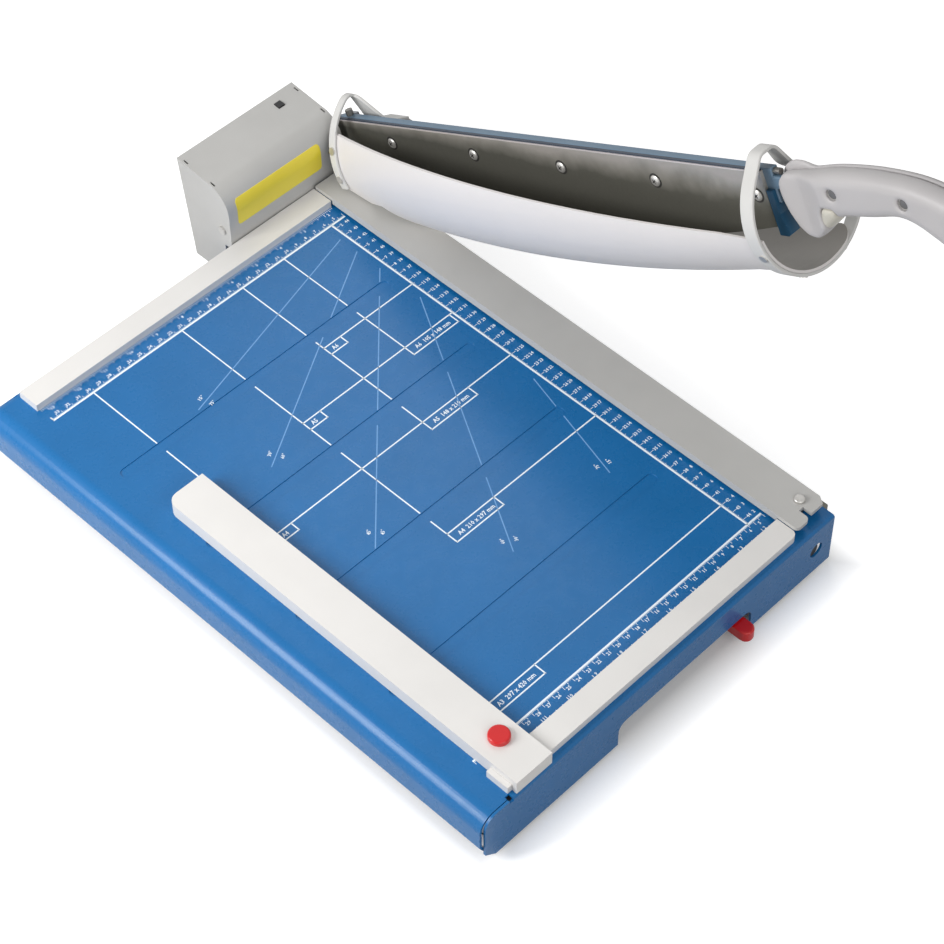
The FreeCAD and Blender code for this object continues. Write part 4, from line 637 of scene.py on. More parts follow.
@dataclass
class Print:
    """Thin closed shapes of ink, lying on the table's top."""

    name: str
    material: bpy.types.Material
    foot: float = -0.02
    height: float = 0.03
    mesh: bmesh.types.BMesh = field(default_factory=bmesh.new)

    def plate(self, corners: list[tuple[float, float]]) -> None:
        """Adds a flat plate.

        Args:
            corners: its outline in millimetres, counter-clockwise seen from above.
        """
        skin(self.mesh, [[on_machine(x, y, z) for x, y in corners] for z in (self.foot, self.height)])

    def line(self, start: tuple[float, float], end: tuple[float, float], width: float) -> None:
        """Adds a straight line with square ends.

        Args:
            start: one end in millimetres.
            end: the other end.
            width: the line's width.
        """
        a, b = Vector(start), Vector(end)
        side = (b - a).normalized() * width / 2
        across = Vector((-side.y, side.x))
        self.plate([tuple(p) for p in (a - across, b - across, b + across, a + across)])

    def add(self, mesh: bpy.types.Mesh, place: Matrix) -> None:
        """Adds a copy of a mesh.

        Args:
            mesh: the mesh to copy.
            place: where it goes, in the row frame.
        """
        before = len(self.mesh.verts)
        self.mesh.from_mesh(mesh)
        self.mesh.verts.ensure_lookup_table()
        bmesh.ops.transform(self.mesh, matrix=place, verts=self.mesh.verts[before:])

    def finish(self, body: str, slot: str) -> bpy.types.Object:
        """Makes the piece of everything added.

        Args:
            body: the body that it rides on.
            slot: not used.

        Returns:
            The piece.
        """
        data = closed_mesh(self.name, self.mesh)
        data.materials.append(self.material)
        return ride_on(self.name, data, body)


@dataclass
class Lettering:
    """Raised characters cut once each and set wherever they are needed.

    CAPITAL is the height of the font's capitals and SINK is half its depth, both in the font's units.
    """

    CAPITAL = 0.7
    SINK = 0.05

    thickness: float = 0.05
    bold: float = 0.018
    stretch: float = 0.95
    cut: dict[str, bpy.types.Mesh] = field(default_factory=dict)

    def shape(self, text: str) -> bpy.types.Mesh:
        """Cuts a word as a closed mesh one unit high, with its left foot at the origin.

        Args:
            text: the word.

        Returns:
            The mesh, whose thickness is one unit too.
        """
        if text not in self.cut:
            curve = bpy.data.curves.new("word", "FONT")
            curve.body = text
            curve.resolution_u = 1
            curve.extrude = self.SINK
            curve.offset = self.bold
            work = bmesh.new()
            work.from_mesh(shaped_mesh(link_object("word", curve)))
            bmesh.ops.remove_doubles(work, verts=work.verts, dist=1e-5)
            left = min(v.co.x for v in work.verts)
            for vert in work.verts:
                x, y, z = vert.co
                vert.co = Vector(((x - left) / self.CAPITAL, y / self.CAPITAL, z / (2 * self.SINK)))
            self.cut[text] = closed_mesh("word_" + str(len(self.cut)), work)
        return self.cut[text]

    def set(
        self,
        sheet: Print,
        text: str,
        centre: tuple[float, float],
        height: float,
        angle: float = 0.0,
        width: float | None = None,
    ) -> None:
        """Sets a word on the table.

        Args:
            sheet: the print that takes it.
            text: the word.
            centre: the middle of the word in millimetres.
            height: the height of its capitals.
            angle: which way it reads, in degrees from +X.
            width: its length, where that is to be fitted.
        """
        mesh = self.shape(text)
        reach = max(v.co.x for v in mesh.vertices)
        wide = width / reach if width else height * self.stretch
        scale = Matrix.Diagonal((wide, height, self.thickness, 1.0))
        shift = Matrix.Translation((-reach * wide / 2, -height / 2, sheet.height - self.thickness / 2))
        turn = Matrix.Rotation(math.radians(angle), 4, "Z")
        place = Matrix.Translation((*centre, 0.0)) @ turn @ shift @ scale
        sheet.add(mesh, Matrix.Translation(ORIGIN) @ Matrix.Scale(MM, 4) @ place)


@dataclass(frozen=True)
class Ruler:
    """One printed scale: where its first tick stands, which way it runs, and how long the ticks are.

    Lengths are in millimetres. Every middle_every-th tick is middle long and every long_every-th is
    long, counted from phase.
    """

    name: str
    start: tuple[float, float]
    turn: float
    count: int
    pitch: float
    phase: int
    short: float
    middle: float
    long: float
    middle_every: int
    long_every: int
    width: float = 0.35


class TickTree:
    """The node group that prints a scale's ticks from its sizes."""

    LENGTHS = ("pitch", "short", "middle", "long", "width")
    COUNTS = ("count", "phase", "middle_every", "long_every")

    def __init__(self) -> None:
        """Builds the group once for all scales."""
        tree = bpy.data.node_groups.new("ruler_ticks", "GeometryNodeTree")
        self.tree = tree
        sockets = {}
        for kind, names in (
            ("NodeSocketFloat", self.LENGTHS + ("thickness",)),
            ("NodeSocketInt", self.COUNTS),
            ("NodeSocketMaterial", ("ink",)),
        ):
            for name in names:
                sockets[name] = tree.interface.new_socket(name, in_out="INPUT", socket_type=kind).identifier
        self.sockets: dict[str, str] = sockets
        tree.interface.new_socket("Ticks", in_out="OUTPUT", socket_type="NodeSocketGeometry")
        given = add_node(tree, "NodeGroupInput").outputs
        step = add_node(tree, "ShaderNodeCombineXYZ", links={"X": given["pitch"]})
        links = {"Count": given["count"], "Offset": step.outputs[0]}
        row = add_node(tree, "GeometryNodeMeshLine", links=links)
        links = {0: add_node(tree, "GeometryNodeInputIndex").outputs[0], 1: given["phase"]}
        order = add_node(tree, "ShaderNodeMath", {"operation": "ADD"}, links)
        middle = self.falls_on(order.outputs[0], given["middle_every"])
        long = self.falls_on(order.outputs[0], given["long_every"])
        reach = self.choose(middle, given["short"], given["middle"])
        reach = self.choose(long, reach, given["long"])
        links = {"X": given["width"], "Y": reach, "Z": given["thickness"]}
        size = add_node(tree, "ShaderNodeCombineXYZ", links=links)
        block = add_node(tree, "GeometryNodeMeshCube", {"Size": (1.0, 1.0, 1.0)})
        links = {"Geometry": block.outputs["Mesh"]}
        tick = add_node(tree, "GeometryNodeTransform", {"Translation": (0.0, 0.5, 0.0)}, links)
        links = {"Points": row.outputs[0], "Instance": tick.outputs[0], "Scale": size.outputs[0]}
        copies = add_node(tree, "GeometryNodeInstanceOnPoints", links=links)
        solid = add_node(tree, "GeometryNodeRealizeInstances", links={"Geometry": copies.outputs[0]})
        links = {"Geometry": solid.outputs[0], "Material": given["ink"]}
        inked = add_node(tree, "GeometryNodeSetMaterial", links=links)
        add_node(tree, "NodeGroupOutput", links={0: inked.outputs[0]})

    def falls_on(self, order: bpy.types.NodeSocket, every: bpy.types.NodeSocket) -> bpy.types.NodeSocket:
        """Tells whether a tick's number is a whole multiple.

        Args:
            order: the tick's number.
            every: what it is to be a multiple of.

        Returns:
            One where it is, and zero elsewhere.
        """
        rest = add_node(self.tree, "ShaderNodeMath", {"operation": "MODULO"}, {0: order, 1: every})
        settings = {"operation": "LESS_THAN", 1: 0.5}
        return add_node(self.tree, "ShaderNodeMath", settings, {0: rest.outputs[0]}).outputs[0]

    def choose(
        self, test: bpy.types.NodeSocket, no: bpy.types.NodeSocket, yes: bpy.types.NodeSocket
    ) -> bpy.types.NodeSocket:
        """Picks one of two lengths.

        Args:
            test: what decides.
            no: the length where it is zero.
            yes: the length where it is one.

        Returns:
            The length picked.
        """
        node = add_node(self.tree, "GeometryNodeSwitch", {"input_type": "FLOAT"})
        for key, socket in (("Switch", test), ("False", no), ("True", yes)):
            self.tree.links.new(socket, node.inputs[key])
        return node.outputs[0]

    def ticks(self, ruler: Ruler, ink: bpy.types.Material, sheet: Print) -> None:
        """Prints one scale.

        Args:
            ruler: the scale's sizes.
            ink: the ink of its ticks.
            sheet: the print that takes them.
        """
        holder = link_object("ticks", bpy.data.meshes.new("ticks"))
        modifier = holder.modifiers.new("ticks", "NODES")
        modifier.node_group = self.tree
        values: dict[str, object] = {key: getattr(ruler, key) for key in self.LENGTHS + self.COUNTS}
        values.update(thickness=sheet.height - sheet.foot, ink=ink)
        for key, value in values.items():
            modifier[self.sockets[key]] = value
        mesh = shaped_mesh(holder)
        middle = (sheet.height + sheet.foot) / 2
        place = Matrix.Translation((*ruler.start, middle)) @ Matrix.Rotation(math.radians(ruler.turn), 4, "Z")
        sheet.add(mesh, Matrix.Translation(ORIGIN) @ Matrix.Scale(MM, 4) @ place)


@dataclass
class PrintedTable:
    """The print of the table's top: paper formats, angle lines and five scales.

    Lengths are in millimetres. A short and a long word in a box say how far in its middle stands, how far
    it lies under the box's middle, and how high it is. The angle lines start angle_start left of the
    corner and end at the left or at the front; their labels stand that far left or at that place
    forward, and angle_word is how far a label lies off its line, how high it is and how wide.
    """

    groove_places: tuple[float, ...] = (-91.0, -183.0, -275.0, -367.0)
    groove_half: float = 5.2
    back_line: float = -15.1
    long_line: float = -54.3
    front_line: float = -445.2
    format_width: float = 1.1
    frame_width: float = 1.5
    angle_width: float = 0.8
    digit: float = 2.8
    short_word: tuple[float, float, float] = (7.2, 0.2, 3.9)
    long_word: tuple[float, float, float] = (24.0, 0.3, 3.8)
    frame_ends: tuple[float, float] = (-335.3, -39.7)
    side_line: tuple[float, float] = (-334.8, -11.4)
    angle_start: float = 60.0
    angle_left: float = -254.5
    angle_front: float = -341.7
    angle_label: tuple[float, float] = (244.0, -332.0)
    angle_word: tuple[float, float, float] = (5.0, 2.8, 4.9)

    def __post_init__(self) -> None:
        """Mixes the inks and opens the sheets."""
        self.ink = {Ink.WHITE: WHITE_INK.make(), Ink.PALE: PALE_INK.make()}
        self.lines = Print("format_lines", self.ink[Ink.WHITE])
        self.angles = Print("angle_lines", self.ink[Ink.PALE])
        self.words = Print("format_words", self.ink[Ink.WHITE])
        self.scales = Print("scale_ticks", self.ink[Ink.WHITE])
        self.numbers = Print("scale_numbers", self.ink[Ink.WHITE])
        self.letters = Lettering()

    def stretches(self, start: float, end: float) -> list[tuple[float, float]]:
        """Splits a run along Y where the table's grooves cross it.

        Args:
            start: the run's back end.
            end: its front end.

        Returns:
            The parts that are left, back to front.
        """
        parts, here = [], start
        for groove in self.groove_places:
            back, front = groove + self.groove_half, groove - self.groove_half
            if here > back > end:
                parts.append((here, back))
                here = min(here, front)
        parts.append((here, end))
        return parts

    def formats(self) -> None:
        """Prints the paper formats and their boxes."""
        # Each upright line's place and its front end, then each cross line's place and its left end.
        runs = ((-105.0, -158.0), (-148.0, -220.0), (-210.0, -307.1), (-297.0, -430.3))
        for x, end in runs:
            for back, front in self.stretches(self.back_line - 0.5, end):
                self.lines.line((x, back), (x, front), self.format_width)
        reach = {-105.0: -148.0, -148.0: -210.0, -210.0: -297.0, -297.0: -210.0, -420.0: -297.0}
        for y, left in reach.items():
            self.lines.line((left - 0.55, y), (self.long_line, y), self.format_width)
        # Each box's left, right, top and depth, and its words with their width.
        boxes = (
            (-105.0, -57.7, -148.0, 10.0, "A6  105 x 148 mm", 36.0),
            (-148.0, -100.3, -210.0, 10.0, "A5  148 x 210 mm", 36.0),
            (-210.0, -162.4, -297.0, 10.1, "A4  210 x 297 mm", 36.0),
            (-297.0, -249.3, -420.0, 10.3, "A3  297 x 420 mm", 36.0),
            (-148.0, -131.0, -105.0, 8.4, "A6", 5.4),
            (-210.0, -193.0, -148.0, 8.4, "A5", 5.4),
            (-297.0, -280.2, -210.0, 8.4, "A4", 5.4),
        )
        half = self.format_width / 2
        for left, right, top, deep, text, width in boxes:
            self.lines.line((right, top), (right, top - deep - half), self.format_width)
            self.lines.line((left - half, top - deep), (right, top - deep), self.format_width)
            inset, drop, height = self.short_word if len(text) == len("A4") else self.long_word
            self.letters.set(self.words, text, (left + inset, top - deep / 2 - drop), height, width=width)

    def frame_lines(self) -> None:
        """Prints the heavy lines along the back, the front and the cutting side."""
        left, right = self.frame_ends
        for y in (self.back_line, self.front_line):
            self.lines.line((left, y), (right, y), self.frame_width)
        self.lines.line((self.long_line, self.back_line), (self.long_line, self.front_line), self.frame_width)
        x, end = self.side_line
        self.lines.line((x, self.back_line), (x, end), self.format_width)

    def angle_lines(self) -> None:
        """Prints the five angle lines that leave the corner, and their labels."""
        off, high, wide = self.angle_word
        for angle in (15, 30, 45, 60, 75):
            slope = math.tan(math.radians(angle))
            to_left = angle <= 45
            far = self.back_line + self.angle_left * slope if to_left else self.angle_front
            near = self.back_line - self.angle_start * slope
            for back, front in self.stretches(near, far):
                points = [((y - self.back_line) / slope, y) for y in (back, front)]
                self.angles.line(points[0], points[1], self.angle_width)
            middle_y = self.back_line - self.angle_label[0] * slope if to_left else self.angle_label[1]
            middle = Vector(((middle_y - self.back_line) / slope, middle_y))
            across = Vector((-math.sin(math.radians(angle)), math.cos(math.radians(angle)))) * off
            for side, value in ((1, angle), (-1, 90 - angle)):
                centre = middle + across * side
                self.letters.set(self.words, f"{value}°", tuple(centre), high, float(angle), wide)

    def rulers(self) -> None:
        """Prints the ticks and numbers of the five scales."""
        inch = 25.4
        fine = inch / 16
        trees = TickTree()
        rows = (
            Ruler("back_cm", (-335.0, -14.4), 0.0, 296, 1.0, 5, 0.9, 2.5, 3.4, 5, 10),
            Ruler("back_inch", (-26 * fine, 0.0), 180.0, 186, fine, 26, 2.2, 3.5, 4.8, 4, 16, 0.45),
            Ruler("long_cm", (-53.7, -16.0), -90.0, 429, 1.0, 16, 0.8, 1.6, 4.3, 5, 10),
            Ruler("front_cm", (-40.0, -445.9), 180.0, 296, 1.0, 0, 0.9, 2.5, 3.8, 5, 10),
            Ruler("front_inch", (-210 * fine, -460.0), 0.0, 185, fine, 14, 2.2, 3.4, 5.4, 4, 16, 0.45),
        )
        for row in rows:
            trees.ticks(row, self.ink[Ink.WHITE], self.scales)
        # Centimetres and inches along the back and the front, then centimetres both ways along the side.
        for n in range(5, 34):
            self.letters.set(self.numbers, str(n), (-10 * n + 2.2, -10.5), self.digit)
            self.letters.set(self.numbers, str(n), (-10 * n + 3.0, -450.2), self.digit)
        for n in range(2, 14):
            self.letters.set(self.numbers, str(n), (-inch * n + 2.9, -4.7), self.digit)
            self.letters.set(self.numbers, str(n), (-inch * n + 3.0, -455.7), self.digit)
        for n in range(2, 45):
            self.letters.set(self.numbers, str(n), (-47.2 if n > 9 else -48.2, -10.0 * n), self.digit)
            self.letters.set(self.numbers, str(46 - n), (-42.6 if n < 37 else -41.9, -10.0 * n), self.digit)

    def build(self) -> list[bpy.types.Object]:
        """Prints the whole table.

        Returns:
            The pieces of ink.
        """
        self.formats()
        self.frame_lines()
        self.angle_lines()
        self.rulers()
        sheets = (self.lines, self.angles, self.words, self.scales, self.numbers)
        return [sheet.finish("base", "guard_grey") for sheet in sheets]


@dataclass(frozen=True)
class CameraView:
    """Where the camera stands and looks, in the row frame."""

    place: Vector
    right: Vector
    down: Vector
    forward: Vector
    angle_deg: float
    shift: float
    sensor_mm: float = 36.0
    far_m: float = 100.0

    def add(self) -> bpy.types.Object:
        """Adds the scene's camera.

        Returns:
            The camera.
        """
        data = bpy.data.cameras.new("camera")
        data.sensor_width = self.sensor_mm
        data.lens = self.sensor_mm / 2 / math.tan(math.radians(self.angle_deg) / 2)
        data.shift_x = self.shift
        data.clip_end = self.far_m
        camera = link_object("camera", data)
        axes = Matrix((self.right, -self.down, -self.forward)).transposed()
        camera.matrix_world = Matrix.Translation(self.place) @ axes.to_4x4()
        bpy.context.scene.camera = camera
        return camera


@dataclass(frozen=True)
class Lamp:
    """A soft square lamp that looks at the machine.

    Its place is in metres from the drawing frame's origin, and its aim is in millimetres in that frame.
    """

    name: str
    place: tuple[float, float, float]
    size: float
    power: float
    aim: tuple[float, float, float] = (-150.0, -230.0, 60.0)

    def add(self) -> bpy.types.Object:
        """Hangs the lamp.

        Returns:
            The lamp.
        """
        data = bpy.data.lights.new(self.name, "AREA")
        data.size, data.energy = self.size, self.power
        lamp = link_object(self.name, data)
        lamp.location = Vector(self.place) + ORIGIN
        way = on_machine(*self.aim) - lamp.location
        lamp.rotation_euler = way.to_track_quat("-Z", "Y").to_euler()
        lamp.visible_camera = False
        return lamp


@dataclass
class Studio:
    """The white table-top studio: floor, world, lamps and camera.

    The world lights the machine at fill. The paper of the floor has the tone paper where it is seen and
    bounce where it only lights, and glows at lift where the table does not cover it. The floor's size is
    in metres; the table's middle, its half widths and the edge of its shade are in millimetres and shares.
    """

    fill: float = 0.42
    floor_half: float = 6.0
    paper: float = 0.98
    lift: float = 0.5
    bounce: float = 0.3
    table_middle: tuple[float, float] = (-185.5, -228.5)
    table_half: tuple[float, float] = (181.5, 256.5)
    shade_edge: tuple[float, float] = (0.98, 1.1)
    lamps: tuple[Lamp, ...] = (
        Lamp("key", (-1.05, 0.12, 0.62), 0.6, 12.0),
        Lamp("front", (-0.6, -1.6, 0.9), 1.0, 8.0),
        Lamp("back", (0.62, 0.57, 1.23), 0.6, 2.0),
    )
    view: CameraView = CameraView(
        place=on_machine(-1044.636, -1153.930, 1512.347),
        right=Vector((0.680572, -0.732236, 0.025516)),
        down=Vector((-0.552783, -0.536015, -0.638058)),
        forward=Vector((0.480886, 0.420140, -0.769565)),
        angle_deg=19.7870,
        shift=-0.1197,
    )

    def seen(self, tree: bpy.types.NodeTree) -> bpy.types.NodeSocket:
        """Tells the rays that show the background: the eye's, and those off metal and through glass.

        Args:
            tree: the tree that asks.

        Returns:
            One for those rays, and zero for the others.
        """
        rays = add_node(tree, "ShaderNodeLightPath").outputs
        both = {"operation": "MAXIMUM"}
        first = add_node(tree, "ShaderNodeMath", both, {0: rays["Is Camera Ray"], 1: rays["Is Glossy Ray"]})
        links = {0: first.outputs[0], 1: rays["Is Transmission Ray"]}
        return add_node(tree, "ShaderNodeMath", both, links).outputs[0]

    def clear_of_machine(self, tree: bpy.types.NodeTree) -> bpy.types.NodeSocket:
        """Tells how far a place on the floor is out from under the table.

        Args:
            tree: the floor's tree.

        Returns:
            Zero under the table, rising to one beside it.
        """
        place = add_node(tree, "ShaderNodeTexCoord").outputs["Object"]
        middle = on_machine(*self.table_middle, 0.0)
        settings = {"operation": "SUBTRACT", 1: (middle.x, middle.y, 0.0)}
        away = add_node(tree, "ShaderNodeVectorMath", settings, {0: place})
        share = (*(1 / (half * MM) for half in self.table_half), 0.0)
        part = add_node(tree, "ShaderNodeVectorMath", {"operation": "MULTIPLY", 1: share}, {0: away.outputs[0]})
        size = add_node(tree, "ShaderNodeVectorMath", {"operation": "ABSOLUTE"}, {0: part.outputs[0]})
        sides = add_node(tree, "ShaderNodeSeparateXYZ", links={0: size.outputs[0]}).outputs
        far = add_node(tree, "ShaderNodeMath", {"operation": "MAXIMUM"}, {0: sides[0], 1: sides[1]})
        settings = {"From Min": self.shade_edge[0], "From Max": self.shade_edge[1]}
        return add_node(tree, "ShaderNodeMapRange", settings, {"Value": far.outputs[0]}).outputs[0]

    def world(self) -> bpy.types.World:
        """Makes the white surround, which lights the machine at its own lower level.

        Returns:
            The world.
        """
        world = bpy.data.worlds.new("surround")
        world.use_nodes = True
        tree = world.node_tree
        sky = tree.nodes["Background"]
        sky.inputs["Color"].default_value = (1.0, 1.0, 1.0, 1.0)
        settings = {"To Min": self.fill, "To Max": 1.0}
        level = add_node(tree, "ShaderNodeMapRange", settings, {"Value": self.seen(tree)})
        tree.links.new(level.outputs[0], sky.inputs["Strength"])
        bpy.context.scene.world = world
        return world

    def floor(self) -> bpy.types.Object:
        """Lays the white floor, which keeps the machine's shadow.

        Returns:
            The floor.
        """
        half = self.floor_half
        data = bpy.data.meshes.new("floor")
        corners = [(-half, -half, 0.0), (half, -half, 0.0), (half, half, 0.0), (-half, half, 0.0)]
        data.from_pydata(corners, [], [(0, 1, 2, 3)])
        material = bpy.data.materials.new("matt_white_paper")
        material.use_nodes = True
        tree = material.node_tree
        shader = tree.nodes["Principled BSDF"]
        settings = {"To Min": self.bounce, "To Max": self.paper}
        tone = add_node(tree, "ShaderNodeMapRange", settings, {"Value": self.seen(tree)})
        tree.links.new(tone.outputs[0], shader.inputs["Base Color"])
        shader.inputs["Roughness"].default_value = 1.0
        shader.inputs["Specular IOR Level"].default_value = 0.0
        shader.inputs["Emission Color"].default_value = (1.0, 1.0, 1.0, 1.0)
        rays = add_node(tree, "ShaderNodeLightPath").outputs
        links = {0: rays["Is Camera Ray"], 1: self.clear_of_machine(tree)}
        lift = add_node(tree, "ShaderNodeMath", {"operation": "MULTIPLY"}, links)
        settings = {"To Min": 0.0, "To Max": self.lift}
        level = add_node(tree, "ShaderNodeMapRange", settings, {"Value": lift.outputs[0]})
        tree.links.new(level.outputs[0], shader.inputs["Emission Strength"])
        data.materials.append(material)
        floor = link_object("floor", data)
        return floor

    def build(self) -> None:
        """Sets up the whole studio."""
        self.view.add()
        self.world()
        self.floor()
        for lamp in self.lamps:
            lamp.add()
        bpy.context.scene.view_settings.view_transform = "Standard"


@dataclass
class Machine:
    """The CAD frame and the finishes of its nodes."""

    nodes: dict[str, bpy.types.Object]
    record: dict

    def dress(self) -> None:
        """Gives every CAD node the finish of its slot."""
        made = {entry["slot"]: FINISHES[entry["slot"]].make() for entry in self.record["materials"]}
        for part in self.record["subparts"]:
            node, slot = self.nodes[part["node"]], part["material_slot"]
            node.data.materials.clear()
            node.data.materials.append(made[slot])
            node["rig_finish"] = slot
            LOG.info("dressed %s in %s", node.name, made[slot].name)


def turn_on_arm(
    work: bmesh.types.BMesh, centre: tuple[float, float], profile: list[tuple[float, float]], flats: int = 28
) -> None:
    """Adds a closed turned shape whose axis runs across the arm.

    Args:
        work: the mesh that takes the faces.
        centre: where its axis stands, along the reach and up.
        profile: places across and radii, from one end to the other.
        flats: how many flats it has round it.
    """
    rings = []
    for across, radius in profile:
        rings.append([on_arm(centre[0] + x, across, centre[1] + y) for x, y in round_places(radius, flats)])
    skin(work, rings)


@dataclass
class BladeBack:
    """A painted highlight along the blade's back edge, and painted shade on the bar's side just over it.

    Lengths are in millimetres: ends are places along the reach and the blade's top there, left to split
    and split to right are the two strips across, and their heights are measured from the blade's top.
    """

    ends: tuple[tuple[float, float], ...] = ((33.0, 23.1), (503.0, 26.6))
    left: float = -0.05
    split: float = 0.7
    right: float = 2.95
    edge_height: tuple[float, float] = (-0.8, 0.12)
    side_height: tuple[float, float] = (-0.5, 1.15)

    def strip(self, across: tuple[float, float], height: tuple[float, float]) -> bmesh.types.BMesh:
        """Gives a strip along the blade's back.

        Args:
            across: its two sides.
            height: its bottom and top over the blade's top.

        Returns:
            Its faces.
        """
        corners = ((0, 0), (1, 0), (1, 1), (0, 1))
        work = bmesh.new()
        rings = [[on_arm(reach, across[x], top + height[up]) for x, up in corners] for reach, top in self.ends]
        skin(work, rings)
        return work

    def build(self) -> list[bpy.types.Object]:
        """Makes both strips.

        Returns:
            The pieces.
        """
        # Painted highlight: a bright line of steel along the blade's back. Painted shade: nearly black blue
        # paint on the bar's side.
        bright = WorkedMetal("ground_edge_painted_highlight", "#dcd4d2", "#d2cac8", (0.34, 0.42), 1.0, 0.003, metal=0.4)
        dark = BakedPaint("shadow_side_slate", "#202b3a", "#243040", (0.5, 0.6), 1.8, 0.01)
        edge = self.strip((self.left, self.split), self.edge_height)
        side = self.strip((self.split, self.right), self.side_height)
        return [
            add_piece("blade_back_painted_highlight", edge, bright.make(), "arm"),
            add_piece("bar_side_painted_shade", side, dark.make(), "arm"),
        ]


@dataclass
class BladeScrews:
    """Five screw heads, each with a dark ring of painted shade for its clearance and a dark cross of painted
    shade for its recess.

    Lengths are in millimetres. The dome and the rim of the clearance are places across with a share of
    the head's radius and a place within the clearance's; the cross is two slots at the given turns, each
    half as long and half as wide as slot_half says.
    """

    first: float = 95.0
    pitch: float = 100.0
    count: int = 5
    up: float = 8.0
    head: float = 4.3
    least: float = 0.15
    clearance: float = 5.8
    dome: tuple[tuple[float, float], ...] = ((0.3, 1.0), (-0.5, 1.0), (-1.1, 0.86), (-1.5, 0.6), (-1.6, 0.0))
    rim: tuple[tuple[float, float], ...] = ((0.3, 0.0), (-0.04, 0.0), (-0.06, 0.2))
    turns: tuple[float, float] = (35.0, 125.0)
    slot_half: tuple[float, float] = (1.9, 0.42)
    slot_depth: tuple[float, float] = (-1.2, -1.68)

    def cross(self, work: bmesh.types.BMesh, reach: float) -> None:
        """Adds the dark cross of painted shade on one screw's head.

        Args:
            work: the mesh that takes the faces.
            reach: where the screw stands.
        """
        for turn in self.turns:
            arm = Vector((math.cos(math.radians(turn)), math.sin(math.radians(turn))))
            side = Vector((-arm.y, arm.x))
            corners = ((-1, -1), (1, -1), (1, 1), (-1, 1))
            spots = [arm * (self.slot_half[0] * a) + side * (self.slot_half[1] * b) for a, b in corners]
            rings = [[on_arm(reach + x, across, self.up + y) for x, y in spots] for across in self.slot_depth]
            skin(work, rings)

    def build(self) -> list[bpy.types.Object]:
        """Makes the heads and the painted shade of their clearances and cross recesses.

        Returns:
            The pieces.
        """
        heads, rings, slots = bmesh.new(), bmesh.new(), bmesh.new()
        dome = [(x, max(self.head * share, self.least)) for x, share in self.dome]
        rim = [(x, self.clearance - within) for x, within in self.rim]
        for n in range(self.count):
            reach = self.first + n * self.pitch
            turn_on_arm(heads, (reach, self.up), dome)
            turn_on_arm(rings, (reach, self.up), rim)
            self.cross(slots, reach)
        # Painted shade of the clearances and the cross recesses: dark steel, with hardly a glint.
        hollow = WorkedMetal("painted_shade_recess_steel", "#2b2a28", "#343330", (0.5, 0.6), 0.8, 0.004, metal=0.3)
        plated, shaded = FINISHES["screw_steel"].make(), hollow.make()
        screws = add_piece("blade_screw_heads", heads, plated, "arm")
        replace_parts(screws, "blade_screws")
        return [
            screws,
            add_piece("blade_screw_clearance_shade", rings, shaded, "arm"),
            add_piece("blade_screw_recess_shade", slots, shaded, "arm"),
        ]


